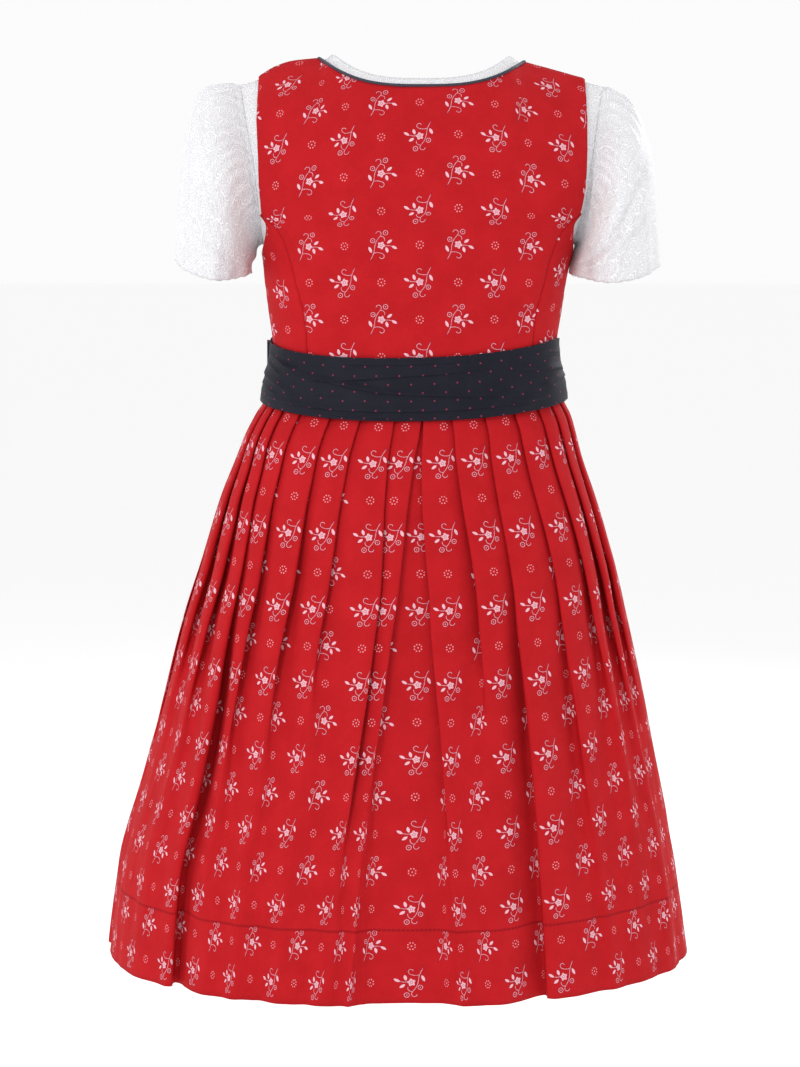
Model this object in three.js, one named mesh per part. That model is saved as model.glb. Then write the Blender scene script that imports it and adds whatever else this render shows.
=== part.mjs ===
// A child's dirndl in its worn shape, with no wearer: bodice, pleated skirt, puff-sleeve
// blouse, apron and the sash that ties at the front. Millimetres, +Z up. The wearer faces
// -Y, the wearer's left is +X, and the origin lies midway between the shoulder seams.
import * as THREE from 'three';

// ---------------------------------------------------------------- driving sizes

const THICK = { bodice: 1.8, blouse: 1.0, piping: 2.4, skirt: 1.0, apron: 1.0, sash: 2.0, bow: 1.2 };
const SEAM = 0.3; // clear gap between two pieces at a seam
const LAYER = 2; // clear gap between the blouse and the bodice over it
const HEM_Z = -726;
const FULL = 90; // degrees from the centre line round to the side seam

// Outer face of the bodice cloth by height: centre and half width, depth to back and
// front, and how square the section is (2 is an ellipse).
const TORSO = [
  { z: -310, centre: 0, half: 116, back: 80, front: 84, square: 2.2 },
  { z: -262, centre: 0, half: 116, back: 80, front: 84, square: 2.2 },
  { z: -222, centre: -0.4, half: 116.5, back: 80, front: 84, square: 2.3 },
  { z: -190, centre: -0.8, half: 121, back: 82.5, front: 87, square: 2.35 },
  { z: -173, centre: -1, half: 123.3, back: 84, front: 88, square: 2.4 },
  { z: -150, centre: -2.5, half: 127.3, back: 86, front: 90, square: 2.5 },
  { z: -130, centre: -4, half: 134, back: 87, front: 90, square: 2.6 },
  { z: -105, centre: -6, half: 142, back: 87, front: 89, square: 2.7 },
  { z: -75, centre: -6.5, half: 148, back: 87, front: 86, square: 2.8 },
  { z: -40, centre: -6, half: 153, back: 86, front: 84, square: 2.8 },
  { z: 30, centre: -6, half: 157, back: 84, front: 82, square: 2.8 },
];

// Height of the shoulder line by distance from the centre, on each side: the left
// shoulder sits a little higher.
const RIDGE = [
  { out: 0, left: 24, right: 24 },
  { out: 55, left: 20, right: 20 },
  { out: 72, left: 15.5, right: 14.5 },
  { out: 82, left: 9, right: 6.5 },
  { out: 105, left: 6, right: 0 },
  { out: 119, left: 1.5, right: -4 },
  { out: 133, left: -6, right: -8 },
  { out: 170, left: -17, right: -19 },
];
const SHOULDER_ROUND = 45;

// Neck edges: half width at the shoulder line, lowest point at back and front.
const DRESS_NECK = { half: 82, back: -15, front: -78, bend: 3 };
const BLOUSE_NECK = { half: 73, back: -7.5, front: -50, bend: 3 };
const PIPING_WIDTH = 3;
const PIPING_GAP = 0.8; // from the piping down to the bodice's neck edge

// Armhole edges by height, as a share of the form's half width (1 is the side seam).
const DRESS_ARMHOLE = [
  { z: -150, share: 1 },
  { z: -141, share: 0.984 },
  { z: -131, share: 0.963 },
  { z: -119, share: 0.935 },
  { z: -105, share: 0.923 },
  { z: -60, share: 0.885 },
  { z: -7, share: 0.856 },
  { z: 30, share: 0.84 },
];
const BLOUSE_ARMHOLE = [
  { z: -143, share: 1 },
  { z: -134, share: 0.991 },
  { z: -122, share: 0.976 },
  { z: -100, share: 0.957 },
  { z: -75, share: 0.946 },
  { z: -40, share: 0.952 },
  { z: -12, share: 0.962 },
  { z: 30, share: 0.965 },
];
const DRESS_UNDERARM_Z = -150;
const BLOUSE_TOP_Z = -12;
const BLOUSE_UNDERARM_Z = -143;
const BLOUSE_HEM_Z = -176; // the blouse is cropped below the chest, inside the bodice

// Curved back seams by height: distance from their own centre line. They leave the
// armhole at SEAM_TOP_Z and run to the waist.
const BACK_SEAM = [
  { z: -300, out: 91 },
  { z: -262, out: 91 },
  { z: -231, out: 91 },
  { z: -201, out: 93 },
  { z: -173, out: 100 },
  { z: -155, out: 104.5 },
  { z: -139, out: 110.5 },
  { z: -129, out: 117 },
  { z: -119, out: 129 },
];
const SEAM_TOP_Z = -119;
const BACK_SEAM_CENTRE = -4.5;

const DRESS_NECK_EDGE = DRESS_NECK.half + PIPING_WIDTH + PIPING_GAP;
const FRONT_EDGE = 9; // the right front laps over to this side of the centre line
const BUTTON = { count: 5, top: -94, pitch: 26, radius: 6, height: 3 };

// Sash edges: height at the sides, and the extra dip at the back and front.
const SASH_TOP = { side: -218, back: 14, front: 6, turn: 12 };
const SASH_BOTTOM = { side: -268, back: 13.5, front: 6, turn: 6 };
const WAIST_UP = 14; // the waist seam lies this far above the sash's lower edge
const SASH_STAND = [ // how far the sash's inner face stands off the bodice, top to bottom
  { share: 0, off: 0.9 },
  { share: 0.35, off: 1.8 },
  { share: 0.6, off: 4.6 },
  { share: 0.74, off: 6.4 },
  { share: 1, off: 8.2 },
];
// Soft creases that run round the sash: ends as angle and share of its width, height.
const SASH_CREASES = [
  { from: 64, fromShare: 0.28, to: 8, toShare: 0.58, high: 1.5 },
  { from: 8, fromShare: 0.58, to: -34, toShare: 0.72, high: 1.1 },
  { from: 40, fromShare: 0.5, to: -20, toShare: 0.26, high: 0.9 },
  { from: 80, fromShare: 0.86, to: -52, toShare: 0.86, high: 1.2 },
  { from: 88, fromShare: 0.5, to: 60, toShare: 0.62, high: 1.4 },
  { from: -40, fromShare: 0.34, to: -84, toShare: 0.5, high: 1.1 },
  { from: -96, fromShare: 0.3, to: -150, toShare: 0.55, high: 1.2 },
  { from: 100, fromShare: 0.7, to: 150, toShare: 0.4, high: 1.2 },
  { from: -100, fromShare: 0.75, to: -170, toShare: 0.8, high: 0.9 },
];
const CREASE_WIDTH = 0.09;

// Crest line of the skirt by distance below the waist seam.
const SKIRT = [
  { down: -40, centre: 0, half: 120, back: 84, front: 88 },
  { down: 0, centre: 0, half: 120.5, back: 84.5, front: 88.5 },
  { down: 14, centre: 0, half: 122, back: 86.5, front: 90.5 },
  { down: 27, centre: 1, half: 129, back: 92, front: 96 },
  { down: 43, centre: 3, half: 135.5, back: 98, front: 101 },
  { down: 60, centre: 4, half: 141, back: 103, front: 106 },
  { down: 93, centre: 5, half: 153, back: 113, front: 115 },
  { down: 143, centre: 5, half: 168, back: 128, front: 130 },
  { down: 192, centre: 7, half: 181, back: 141, front: 143 },
  { down: 259, centre: 8, half: 197, back: 158, front: 160 },
  { down: 325, centre: 10, half: 213, back: 173, front: 175 },
  { down: 392, centre: 13, half: 229, back: 186, front: 188 },
  { down: 472, centre: 13, half: 240, back: 197, front: 199 },
];
const SKIRT_LENGTH = 472;
const SKIRT_SQUARE = 2.1;
const CLOTH_PER_PLEAT = 63;
const TUCK_DEPTH = 3.6; // face to the lowest of the three layers at the waist
const MID_DOWN = 150;
const SKIRT_LEVELS = [0, 16, 40, 80, 130, 175, 225, 300, SKIRT_LENGTH];

// Fold edges from the centre outwards: angle from the centre line at the waist, at
// MID_DOWN and at the hem, where the tuck has half opened, and its depth there and at
// the hem once open.
const BACK_LEFT_FOLDS = [
  { waist: -2, mid: 2, hem: 6, opens: 130, midDepth: 7, hemDepth: 9 },
  { waist: 7.2, mid: 6.4, hem: 14, opens: 240, midDepth: 8, hemDepth: 8 },
  { waist: 20, mid: 20.4, hem: 24, opens: 170, midDepth: 7, hemDepth: 7 },
  { waist: 33, mid: 31, hem: 34, opens: 110, midDepth: 8, hemDepth: 9 },
  { waist: 49, mid: 43, hem: 46, opens: 150, midDepth: 9, hemDepth: 15 },
  { waist: 61.6, mid: 52, hem: 59, opens: 190, midDepth: 11, hemDepth: 9 },
  { waist: 78, mid: 68, hem: 74, opens: 110, midDepth: 8, hemDepth: 8 },
];
const BACK_RIGHT_FOLDS = [
  { waist: 2.8, mid: 5, hem: 8.5, opens: 200, midDepth: 8, hemDepth: 8 },
  { waist: 12.9, mid: 17, hem: 18, opens: 130, midDepth: 7, hemDepth: 7 },
  { waist: 26.3, mid: 28, hem: 27.5, opens: 180, midDepth: 8, hemDepth: 15 },
  { waist: 39.8, mid: 43, hem: 44, opens: 190, midDepth: 9, hemDepth: 12 },
  { waist: 54, mid: 57, hem: 57, opens: 170, midDepth: 9, hemDepth: 8 },
  { waist: 65.4, mid: 68, hem: 69, opens: 140, midDepth: 9, hemDepth: 9 },
  { waist: 78, mid: 79, hem: 80, opens: 110, midDepth: 7, hemDepth: 7 },
];
const FRONT_LEFT_FOLDS = [
  { waist: 0.5, mid: 3, hem: 6, opens: 110, midDepth: 6, hemDepth: 8 },
  { waist: 13, mid: 13, hem: 14, opens: 130, midDepth: 7, hemDepth: 9 },
  { waist: 26, mid: 25, hem: 27, opens: 100, midDepth: 7, hemDepth: 7 },
  { waist: 39, mid: 38, hem: 40, opens: 150, midDepth: 8, hemDepth: 10 },
  { waist: 52, mid: 51, hem: 53, opens: 120, midDepth: 8, hemDepth: 8 },
  { waist: 65, mid: 64, hem: 66, opens: 160, midDepth: 9, hemDepth: 11 },
  { waist: 78, mid: 77, hem: 79, opens: 110, midDepth: 8, hemDepth: 8 },
];
const FRONT_RIGHT_FOLDS = [
  { waist: 0.5, mid: 3, hem: 5, opens: 130, midDepth: 7, hemDepth: 9 },
  { waist: 13, mid: 14, hem: 16, opens: 110, midDepth: 7, hemDepth: 8 },
  { waist: 26, mid: 26, hem: 28, opens: 150, midDepth: 8, hemDepth: 10 },
  { waist: 39, mid: 39, hem: 41, opens: 110, midDepth: 7, hemDepth: 8 },
  { waist: 52, mid: 51, hem: 52, opens: 170, midDepth: 9, hemDepth: 11 },
  { waist: 65, mid: 65, hem: 66, opens: 120, midDepth: 8, hemDepth: 8 },
  { waist: 78, mid: 78, hem: 79, opens: 130, midDepth: 8, hemDepth: 9 },
];

// Apron: half spread in degrees at top and bottom, reach down the skirt, gathers.
const APRON = { topSpread: 38, hemSpread: 44, top: 14.4, bottom: 420, stand: 1.8, gathers: 11, columns: 33 };
const APRON_LEVELS = [0, 0.06, 0.16, 0.32, 0.54, 0.78, 1];

// Puff sleeves: hem ring, and how far the cap springs outwards and upwards.
const SLEEVES = [
  { name: 'sleeve_left', side: 1, centre: 168.5, half: 31.5, hemZ: -157, tilt: 5, spring: 47, lift: 30 },
  { name: 'sleeve_right', side: -1, centre: 167.5, half: 38.5, hemZ: -160, tilt: 3, spring: 33, lift: 15 },
];
const SLEEVE = { hemDip: 10, depth: 52, around: 36, along: 6 };
const GATHER = { count: 12, high: 2.2 }; // small folds of the sleeve head

const BOW = { angle: 161, share: 0.36, knotWide: 26, knotDeep: 18, knotHigh: 34, seat: 1 };
const LOOP = { long: 66, deep: 16, nearHalf: 10, farHalf: 23, stand: 16 };
const TAIL = { turn: 12.5, topTurn: 4.6, topHalf: 8, half: 21, from: -1.4, to: 210, stand: 8.6, slant: 14 };

const COLOUR = { red: 0xc8262e, navy: 0x262a3a, white: 0xf2f2f4, metal: 0xb9b4a6 };

// ---------------------------------------------------------------- small helpers

const radians = THREE.MathUtils.degToRad;
const mix = THREE.MathUtils.lerp;
const signedPower = (value, power) => Math.sign(value) * Math.abs(value) ** power;
const spread = (count) => Array.from({ length: count + 1 }, (_, index) => index / count);

// Value of one column of a table between its rows, smooth and never past them.
function lookup(rows, key, name, at) {
  const last = rows.length - 1;
  if (at <= rows[0][key]) return rows[0][name];
  if (at >= rows[last][key]) return rows[last][name];
  const i = rows.findIndex((row) => row[key] > at) - 1;
  const width = (k) => rows[k + 1][key] - rows[k][key];
  const slope = (k) => (rows[k + 1][name] - rows[k][name]) / width(k);
  const tangent = (k) => {
    if (k === 0) return slope(0);
    if (k === last) return slope(last - 1);
    const [a, b] = [slope(k - 1), slope(k)];
    return a * b <= 0 ? 0 : (2 * a * b) / (a + b);
  };
  const t = (at - rows[i][key]) / width(i);
  const bump = t * t * (3 - 2 * t);
  const rise = rows[i][name] * (1 - bump) + rows[i + 1][name] * bump;
  return rise + width(i) * (tangent(i) * t * (1 - t) ** 2 - tangent(i + 1) * t * t * (1 - t));
}

function smoothstep(from, to, at) {
  const t = Math.min(1, Math.max(0, (at - from) / (to - from)));
  return t * t * (3 - 2 * t);
}

// Joins two matching grids of points, outer[row][column] and inner, into one closed wall.
function wall(outer, inner, ring = false) {
  const rows = outer.length;
  const columns = outer[0].length;
  const corners = [...outer.flat(), ...inner.flat()];
  const out = (row, column) => row * columns + (column % columns);
  const inn = (row, column) => rows * columns + out(row, column);
  const faces = [];
  const quad = (a, b, c, d) => faces.push(a, b, c, a, c, d);
  const spans = ring ? columns : columns - 1;
  for (let column = 0; column < spans; column += 1) {
    for (let row = 0; row < rows - 1; row += 1) {
      quad(out(row, column), out(row, column + 1), out(row + 1, column + 1), out(row + 1, column));
      quad(inn(row, column), inn(row + 1, column), inn(row + 1, column + 1), inn(row, column + 1));
    }
    quad(out(0, column + 1), out(0, column), inn(0, column), inn(0, column + 1));
    quad(out(rows - 1, column), out(rows - 1, column + 1), inn(rows - 1, column + 1), inn(rows - 1, column));
  }
  if (!ring) {
    for (let row = 0; row < rows - 1; row += 1) {
      const end = columns - 1;
      quad(out(row, 0), out(row + 1, 0), inn(row + 1, 0), inn(row, 0));
      quad(out(row + 1, end), out(row, end), inn(row, end), inn(row + 1, end));
    }
  }
  return solid(corners, faces);
}

// Geometry with its faces turned outwards.
function solid(corners, faces) {
  let volume = 0;
  for (let k = 0; k < faces.length; k += 3) {
    const [a, b, c] = [corners[faces[k]], corners[faces[k + 1]], corners[faces[k + 2]]];
    volume += a.dot(new THREE.Vector3().crossVectors(b, c));
  }
  const turned = volume < 0 ? [...faces].reverse() : faces;
  const geometry = new THREE.BufferGeometry();
  geometry.setAttribute('position', new THREE.Float32BufferAttribute(corners.flatMap((p) => p.toArray()), 3));
  geometry.setIndex(turned);
  geometry.computeVertexNormals();
  return geometry;
}

const dirndl = new THREE.Group();

function addPiece(name, geometry, color, roughness = 0.9, metalness = 0) {
  const mesh = new THREE.Mesh(geometry, new THREE.MeshStandardMaterial({ color, roughness, metalness }));
  mesh.name = name;
  dirndl.add(mesh);
  return mesh;
}

// ---------------------------------------------------------------- torso form

const torso = (name, z) => lookup(TORSO, 'z', name, z);
const ridge = (out) => lookup(RIDGE, 'out', out > 0 ? 'left' : 'right', Math.abs(out));
const rounding = (x, z) => 1 - Math.exp(-Math.max(0, ridge(x - torso('centre', z)) - z) / SHOULDER_ROUND);

// Point of the form at an angle from the centre back (0), by the left side (90) to the
// centre front (180), and a height.
function formPoint(angle, z) {
  const turn = radians(angle);
  const power = 2 / torso('square', z);
  const x = torso('centre', z) + torso('half', z) * signedPower(Math.sin(turn), power);
  const depth = torso(Math.cos(turn) > 0 ? 'back' : 'front', z);
  return new THREE.Vector3(x, depth * rounding(x, z) * signedPower(Math.cos(turn), power), z);
}

// Outward direction of the form at a point on it. Right at the shoulder line, where back
// and front meet, it is that of the cloth just below.
function formNormal(p) {
  const below = ridge(p.x - torso('centre', p.z)) - 1;
  const z = Math.min(p.z, below);
  const side = p.y < 0 ? -1 : 1;
  const level = (x, y, height) => {
    const square = torso('square', height);
    const depth = torso(side > 0 ? 'back' : 'front', height) * Math.max(0.001, rounding(x, height));
    return Math.abs((x - torso('centre', height)) / torso('half', height)) ** square + Math.abs(y / depth) ** square;
  };
  let { y } = p;
  if (p.z > below) {
    const out = Math.min(1, Math.abs(p.x - torso('centre', z)) / torso('half', z));
    const square = torso('square', z);
    y = side * torso(side > 0 ? 'back' : 'front', z) * rounding(p.x, z) * (1 - out ** square) ** (1 / square);
  }
  const h = 0.2;
  return new THREE.Vector3(
    level(p.x + h, y, z) - level(p.x - h, y, z),
    level(p.x, y + h, z) - level(p.x, y - h, z),
    level(p.x, y, z + h) - level(p.x, y, z - h),
  ).normalize();
}

// Angle from the centre line at which the form reaches a share of its half width.
function angleOfShare(share, z) {
  return THREE.MathUtils.radToDeg(Math.asin(Math.min(1, Math.max(0, share)) ** (torso('square', z) / 2)));
}
const angleOfOut = (out, z) => Math.sign(out) * angleOfShare(Math.abs(out) / torso('half', z), z);

// A point moved inwards through the cloth, kept on its own side of the shoulder seam.
function inset(p, depth) {
  const side = p.y < 0 ? -1 : 1;
  const moved = p.clone().addScaledVector(formNormal(p), -depth);
  moved.y = side * Math.max(SEAM / 2, side * moved.y);
  return moved;
}

// Height of an edge that is a neckline inside `neck.half` and the shoulder seam outside.
function neckHeight(neck, end, out, lower = 0) {
  const half = neck.half + lower;
  const share = Math.min(1, Math.abs(out) / half);
  const top = ridge(out < 0 ? -half : half);
  return neck[end] - lower + (top - neck[end] + lower) * share ** neck.bend;
}

function topHeight(neck, end, out, lower) {
  const above = Math.abs(out) < neck.half + lower ? neckHeight(neck, end, out, lower) : ridge(out);
  return above - SEAM / 2;
}

// Shares across a panel. `marks` are distances from the centre at which a column lies
// exactly, and `counts` the columns from the centre to the first mark, and so on.
function sharesAcross(outAt, marks, counts) {
  const shareWhere = (out) => {
    let [low, high] = [0, 1];
    for (let pass = 0; pass < 40; pass += 1) {
      const middle = (low + high) / 2;
      if (outAt(middle) < out) low = middle;
      else high = middle;
    }
    return (low + high) / 2;
  };
  const outer = [...marks].reverse().map((mark) => -mark);
  const ends = [0, ...[...outer, ...marks].map(shareWhere), 1];
  const runs = [...counts.slice(1).reverse(), ...counts];
  const stops = [0];
  runs.forEach((count, run) => {
    if (ends[run + 1] - ends[run] < 0.01) return;
    spread(count).slice(1).forEach((step) => stops.push(mix(ends[run], ends[run + 1], step)));
  });
  return stops;
}

// Height at which a column, whose distance out depends on its height, meets the top edge.
function settleTop(neck, end, lower, outAtHeight) {
  let z = 0;
  for (let pass = 0; pass < 16; pass += 1) z = mix(z, topHeight(neck, end, outAtHeight(z), lower), 0.7);
  return z;
}
const levelShare = (levels, level) => (level - levels[0]) / (levels[levels.length - 1] - levels[0]);

// A panel that reaches the shoulders. `reach(z)` gives its two side edges as signed
// angles from the centre line of its end, from -X to +X, and its top follows the neck.
function shoulderPanel({ end, neck, lower, reach, bottom, levels, marks, counts, depth, thick }) {
  const at = (across, z) => {
    const [from, to] = reach(z);
    const angle = mix(from, to, across);
    return formPoint(end === 'back' ? angle : 180 - angle, z);
  };
  const outAt = (across, z) => at(across, z).x - torso('centre', z);
  const topOf = (across) => settleTop(neck, end, lower, (z) => outAt(across, z));
  const stops = sharesAcross((across) => outAt(across, topOf(across)), marks, counts);
  const points = levels.map((level) => stops.map((across) => {
    const low = bottom(end, at(across, levels[0]));
    return at(across, mix(low, topOf(across), levelShare(levels, level)));
  }));
  const grid = (inwards) => points.map((row) => row.map((point) => inset(point, inwards)));
  return wall(grid(depth), grid(depth + thick));
}

const EDGE_TURN = 0.1; // degrees from a seam to the edge of each piece beside it
const dressReach = (z) => angleOfShare(z <= DRESS_UNDERARM_Z ? 1 : lookup(DRESS_ARMHOLE, 'z', 'share', z), z);
const blouseReach = (z) => angleOfShare(z <= BLOUSE_UNDERARM_Z ? 1 : lookup(BLOUSE_ARMHOLE, 'z', 'share', z), z);

// ---------------------------------------------------------------- waist and sash lines

function sashHeight(edge, angle) {
  const turned = Math.cos(radians(angle - edge.turn));
  return edge.side - edge.back * Math.max(0, turned) ** 1.3 - edge.front * Math.max(0, -turned) ** 1.3;
}
const waistHeight = (angle) => sashHeight(SASH_BOTTOM, angle) + WAIST_UP;

function angleAround(point) {
  return THREE.MathUtils.radToDeg(Math.atan2(point.x - torso('centre', point.z), point.y));
}
const bodiceBottom = (end, point) => waistHeight(angleAround(point)) + SEAM;

// ---------------------------------------------------------------- bodice

const BODICE_LEVELS = [-262, -238, -214, -190, -168, -150, -138, -128, -119, -95, -70, -45, -28, -16, -7];

// Signed angle of a curved back seam below the armhole, and of the armhole above it.
function backSeam(side, z) {
  if (z > SEAM_TOP_Z) return side * dressReach(z);
  const out = side * lookup(BACK_SEAM, 'z', 'out', z) + BACK_SEAM_CENTRE - torso('centre', z);
  return side * Math.min(Math.abs(angleOfOut(out, z)), dressReach(z));
}

function addCentreBack() {
  addPiece('bodice_centre_back', shoulderPanel({
    end: 'back', neck: DRESS_NECK, lower: PIPING_WIDTH + PIPING_GAP, bottom: bodiceBottom, levels: BODICE_LEVELS,
    reach: (z) => [backSeam(-1, z) + EDGE_TURN, backSeam(1, z) - EDGE_TURN],
    marks: [DRESS_NECK_EDGE], counts: [8, 4], depth: 0, thick: THICK.bodice,
  }), COLOUR.red);
}

// From a curved back seam round to the side seam, up to the lower armhole. Its levels
// match those of the centre back along their shared seam.
function addSideBack(name, side) {
  const seamPoint = (z, gap) => formPoint(side * (Math.abs(backSeam(side, z)) + gap), z);
  const seamTop = settleTop(DRESS_NECK, 'back', PIPING_WIDTH + PIPING_GAP, (z) => (
    seamPoint(z, -EDGE_TURN).x - torso('centre', z)
  ));
  const seamLow = bodiceBottom('back', seamPoint(BODICE_LEVELS[0], 0));
  const heights = BODICE_LEVELS.filter((level) => level <= SEAM_TOP_Z)
    .map((level) => mix(seamLow, seamTop, levelShare(BODICE_LEVELS, level)));
  const top = heights[heights.length - 1];
  const points = heights.map((height) => spread(5).map((across) => {
    const crest = mix(top, DRESS_UNDERARM_Z - SEAM, Math.sin(radians(across * FULL)));
    const at = (z) => {
      const from = Math.abs(backSeam(side, z)) + EDGE_TURN;
      return formPoint(side * mix(from, FULL - EDGE_TURN, across), z);
    };
    const low = bodiceBottom('back', at(BODICE_LEVELS[0]));
    return at(mix(low, crest, (height - seamLow) / (top - seamLow)));
  }));
  addPiece(name, wall(points, points.map((row) => row.map((p) => inset(p, THICK.bodice)))), COLOUR.red);
}

function addFront(name, side) {
  const edge = (z) => angleOfOut(FRONT_EDGE, z) + side * EDGE_TURN;
  const outer = (z) => side * (dressReach(z) - EDGE_TURN);
  addPiece(name, shoulderPanel({
    end: 'front', neck: DRESS_NECK, lower: PIPING_WIDTH + PIPING_GAP, bottom: bodiceBottom, levels: BODICE_LEVELS,
    reach: (z) => (side > 0 ? [edge(z), outer(z)] : [outer(z), edge(z)]),
    marks: [DRESS_NECK_EDGE], counts: [7, 3], depth: 0, thick: THICK.bodice,
  }), COLOUR.red);
}

function addButtons() {
  for (let index = 0; index < BUTTON.count; index += 1) {
    const z = BUTTON.top - index * BUTTON.pitch;
    const seat = formPoint(180, z);
    const out = formNormal(seat);
    const { radius, height } = BUTTON;
    const profile = [[0, 0], [radius, 0], [radius, height * 0.4], [radius * 0.7, height * 0.85], [0, height]];
    const geometry = new THREE.LatheGeometry(profile.map(([x, y]) => new THREE.Vector2(x, y)), 10);
    const mesh = addPiece(`button_${index + 1}`, geometry, COLOUR.metal, 0.35, 0.9);
    mesh.quaternion.setFromUnitVectors(new THREE.Vector3(0, 1, 0), out);
    mesh.position.copy(seat).addScaledVector(out, SEAM + radius * radius / (2 * torso('front', z)) * 0.2);
  }
}

// Piping on the neck edge: a closed band across the back, over each shoulder and round
// the front.
function addPiping() {
  const steps = 18;
  const edge = (end, share, lower) => {
    const out = share * (DRESS_NECK.half + lower);
    const z = Math.min(neckHeight(DRESS_NECK, end, out, lower), ridge(out) - 0.6);
    const x = torso('centre', z) + out;
    const angle = angleOfOut(out, z);
    const point = formPoint(end === 'back' ? angle : 180 - angle, z);
    return Math.abs(share) > 0.999 ? new THREE.Vector3(x, 0, ridge(out)) : point;
  };
  const round = [
    ...spread(steps).map((step) => ({ end: 'back', share: mix(-1, 1, step) })),
    ...spread(steps).slice(1, -1).map((step) => ({ end: 'front', share: mix(1, -1, step) })),
  ];
  const eased = round.map(({ end, share }) => ({ end, share: Math.sin(share * Math.PI / 2) }));
  const band = (raise) => [0, 0.5, 1].map((across) => eased.map(({ end, share }) => {
    const point = edge(end, share, across * PIPING_WIDTH);
    const onRidge = Math.abs(share) > 0.999;
    const normal = onRidge ? new THREE.Vector3(0, 0, 1) : formNormal(point);
    return point.clone().addScaledVector(normal, raise);
  }));
  addPiece('neck_piping', wall(band(0.6), band(0.6 - THICK.piping), true), COLOUR.navy);
}

// ---------------------------------------------------------------- blouse

const BLOUSE_LEVELS = [BLOUSE_HEM_Z, BLOUSE_UNDERARM_Z, -124, -94, -62, -38, -23, BLOUSE_TOP_Z];
const UNDER_PIPING = 87; // the blouse bends down to the shoulder line at this distance out
const BLOUSE_DEPTH = THICK.bodice + LAYER;

function addBlouseBody(name, end) {
  addPiece(name, shoulderPanel({
    end, neck: BLOUSE_NECK, lower: 0, bottom: () => BLOUSE_HEM_Z, levels: BLOUSE_LEVELS,
    reach: (z) => [EDGE_TURN - blouseReach(z), blouseReach(z) - EDGE_TURN],
    marks: [BLOUSE_NECK.half, UNDER_PIPING], counts: [8, 2, 3], depth: BLOUSE_DEPTH, thick: THICK.blouse,
  }), COLOUR.white);
}

// Point of the blouse's armhole edge at a height, on its back or front half.
function armholeEdge(side, z, back) {
  const reach = blouseReach(z);
  const point = formPoint(back ? side * reach : 180 - side * reach, z);
  point.y = (back ? 1 : -1) * Math.abs(point.y);
  const seat = point.clone().addScaledVector(formNormal(point), -BLOUSE_DEPTH);
  return seat.addScaledVector(new THREE.Vector3(side, 0, 0), SEAM * 3);
}

// Height at which the blouse's armhole edge meets the shoulder line.
function armholeTop(side) {
  let z = BLOUSE_TOP_Z;
  for (let pass = 0; pass < 16; pass += 1) {
    z = ridge(formPoint(side * blouseReach(z), z).x - torso('centre', z)) - SEAM;
  }
  return z;
}

// Each half of the armhole edge from the shoulder to the underarm, by distance along it.
const armholeRuns = new Map();
function armholeRun(side, back) {
  const name = `${side} ${back}`;
  if (!armholeRuns.has(name)) {
    const top = armholeTop(side);
    const points = spread(60).map((share) => {
      const drop = Math.sin((share * Math.PI) / 2) ** 2;
      return armholeEdge(side, mix(top, BLOUSE_UNDERARM_Z, drop), back);
    });
    const run = [{ along: 0, point: points[0] }];
    points.slice(1).forEach((point, k) => run.push({ along: run[k].along + point.distanceTo(points[k]), point }));
    armholeRuns.set(name, run);
  }
  return armholeRuns.get(name);
}

// Point of the sleeve's armhole ring: 0 at the shoulder, 90 at the back, 180 below.
function armholePoint(side, angle) {
  const turned = ((angle % 360) + 360) % 360;
  const back = turned <= 180;
  const run = armholeRun(side, back);
  const share = (back ? turned : 360 - turned) / 180;
  const along = share * run[run.length - 1].along;
  const k = Math.min(run.length - 2, run.findIndex((stop, index) => index > 0 && stop.along >= along) - 1);
  return run[k].point.clone().lerp(run[k + 1].point, (along - run[k].along) / (run[k + 1].along - run[k].along));
}

function sleevePoint(sleeve, angle, along) {
  const [up, across] = [Math.cos(radians(angle)), Math.sin(radians(angle))];
  const top = (1 + up) / 2;
  const start = armholePoint(sleeve.side, angle);
  const hem = new THREE.Vector3(
    sleeve.side * (sleeve.centre + sleeve.half * up),
    SLEEVE.depth * across,
    sleeve.hemZ + sleeve.tilt * up - SLEEVE.hemDip * across * across,
  );
  const springOut = 4 + (sleeve.spring - 4) * top ** 0.9;
  const leave = new THREE.Vector3(sleeve.side * springOut, (18 + 18 * top) * across, sleeve.lift * top * top - 3);
  const arrive = new THREE.Vector3(-sleeve.side * (2 + 8 * top), 7 * across, 6 + 69 * top);
  const curve = new THREE.CubicBezierCurve3(start, start.clone().add(leave), hem.clone().add(arrive), hem);
  return curve.getPoint(along);
}

function addSleeve(sleeve) {
  const angles = spread(SLEEVE.around).slice(0, -1).map((share) => share * 360);
  const level = (row) => row / SLEEVE.along;
  const middle = Array.from({ length: SLEEVE.along + 1 }, (_, row) => angles.map((angle) => {
    return sleevePoint(sleeve, angle, level(row));
  }));
  const offset = (row, column, raise) => {
    const count = angles.length;
    const [before, after] = [middle[row][(column + count - 1) % count], middle[row][(column + 1) % count]];
    const [above, below] = [middle[Math.max(0, row - 1)][column], middle[Math.min(SLEEVE.along, row + 1)][column]];
    const normal = new THREE.Vector3().crossVectors(below.clone().sub(above), after.clone().sub(before));
    return middle[row][column].clone().addScaledVector(normal.normalize(), sleeve.side * raise);
  };
  const fold = (row, column) => {
    const angle = angles[column];
    const top = (1 + Math.cos(radians(angle))) / 2;
    const share = level(row);
    const fade = smoothstep(0, 0.12, share) * (1 - smoothstep(0.45, 0.95, share));
    return GATHER.high * top * fade * Math.cos(radians(angle * GATHER.count));
  };
  const grid = (raise) => middle.map((line, row) => line.map((_, column) => {
    return offset(row, column, raise + fold(row, column));
  }));
  addPiece(sleeve.name, wall(grid(THICK.blouse / 2), grid(-THICK.blouse / 2), true), COLOUR.white);
}

// ---------------------------------------------------------------- sash

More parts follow.
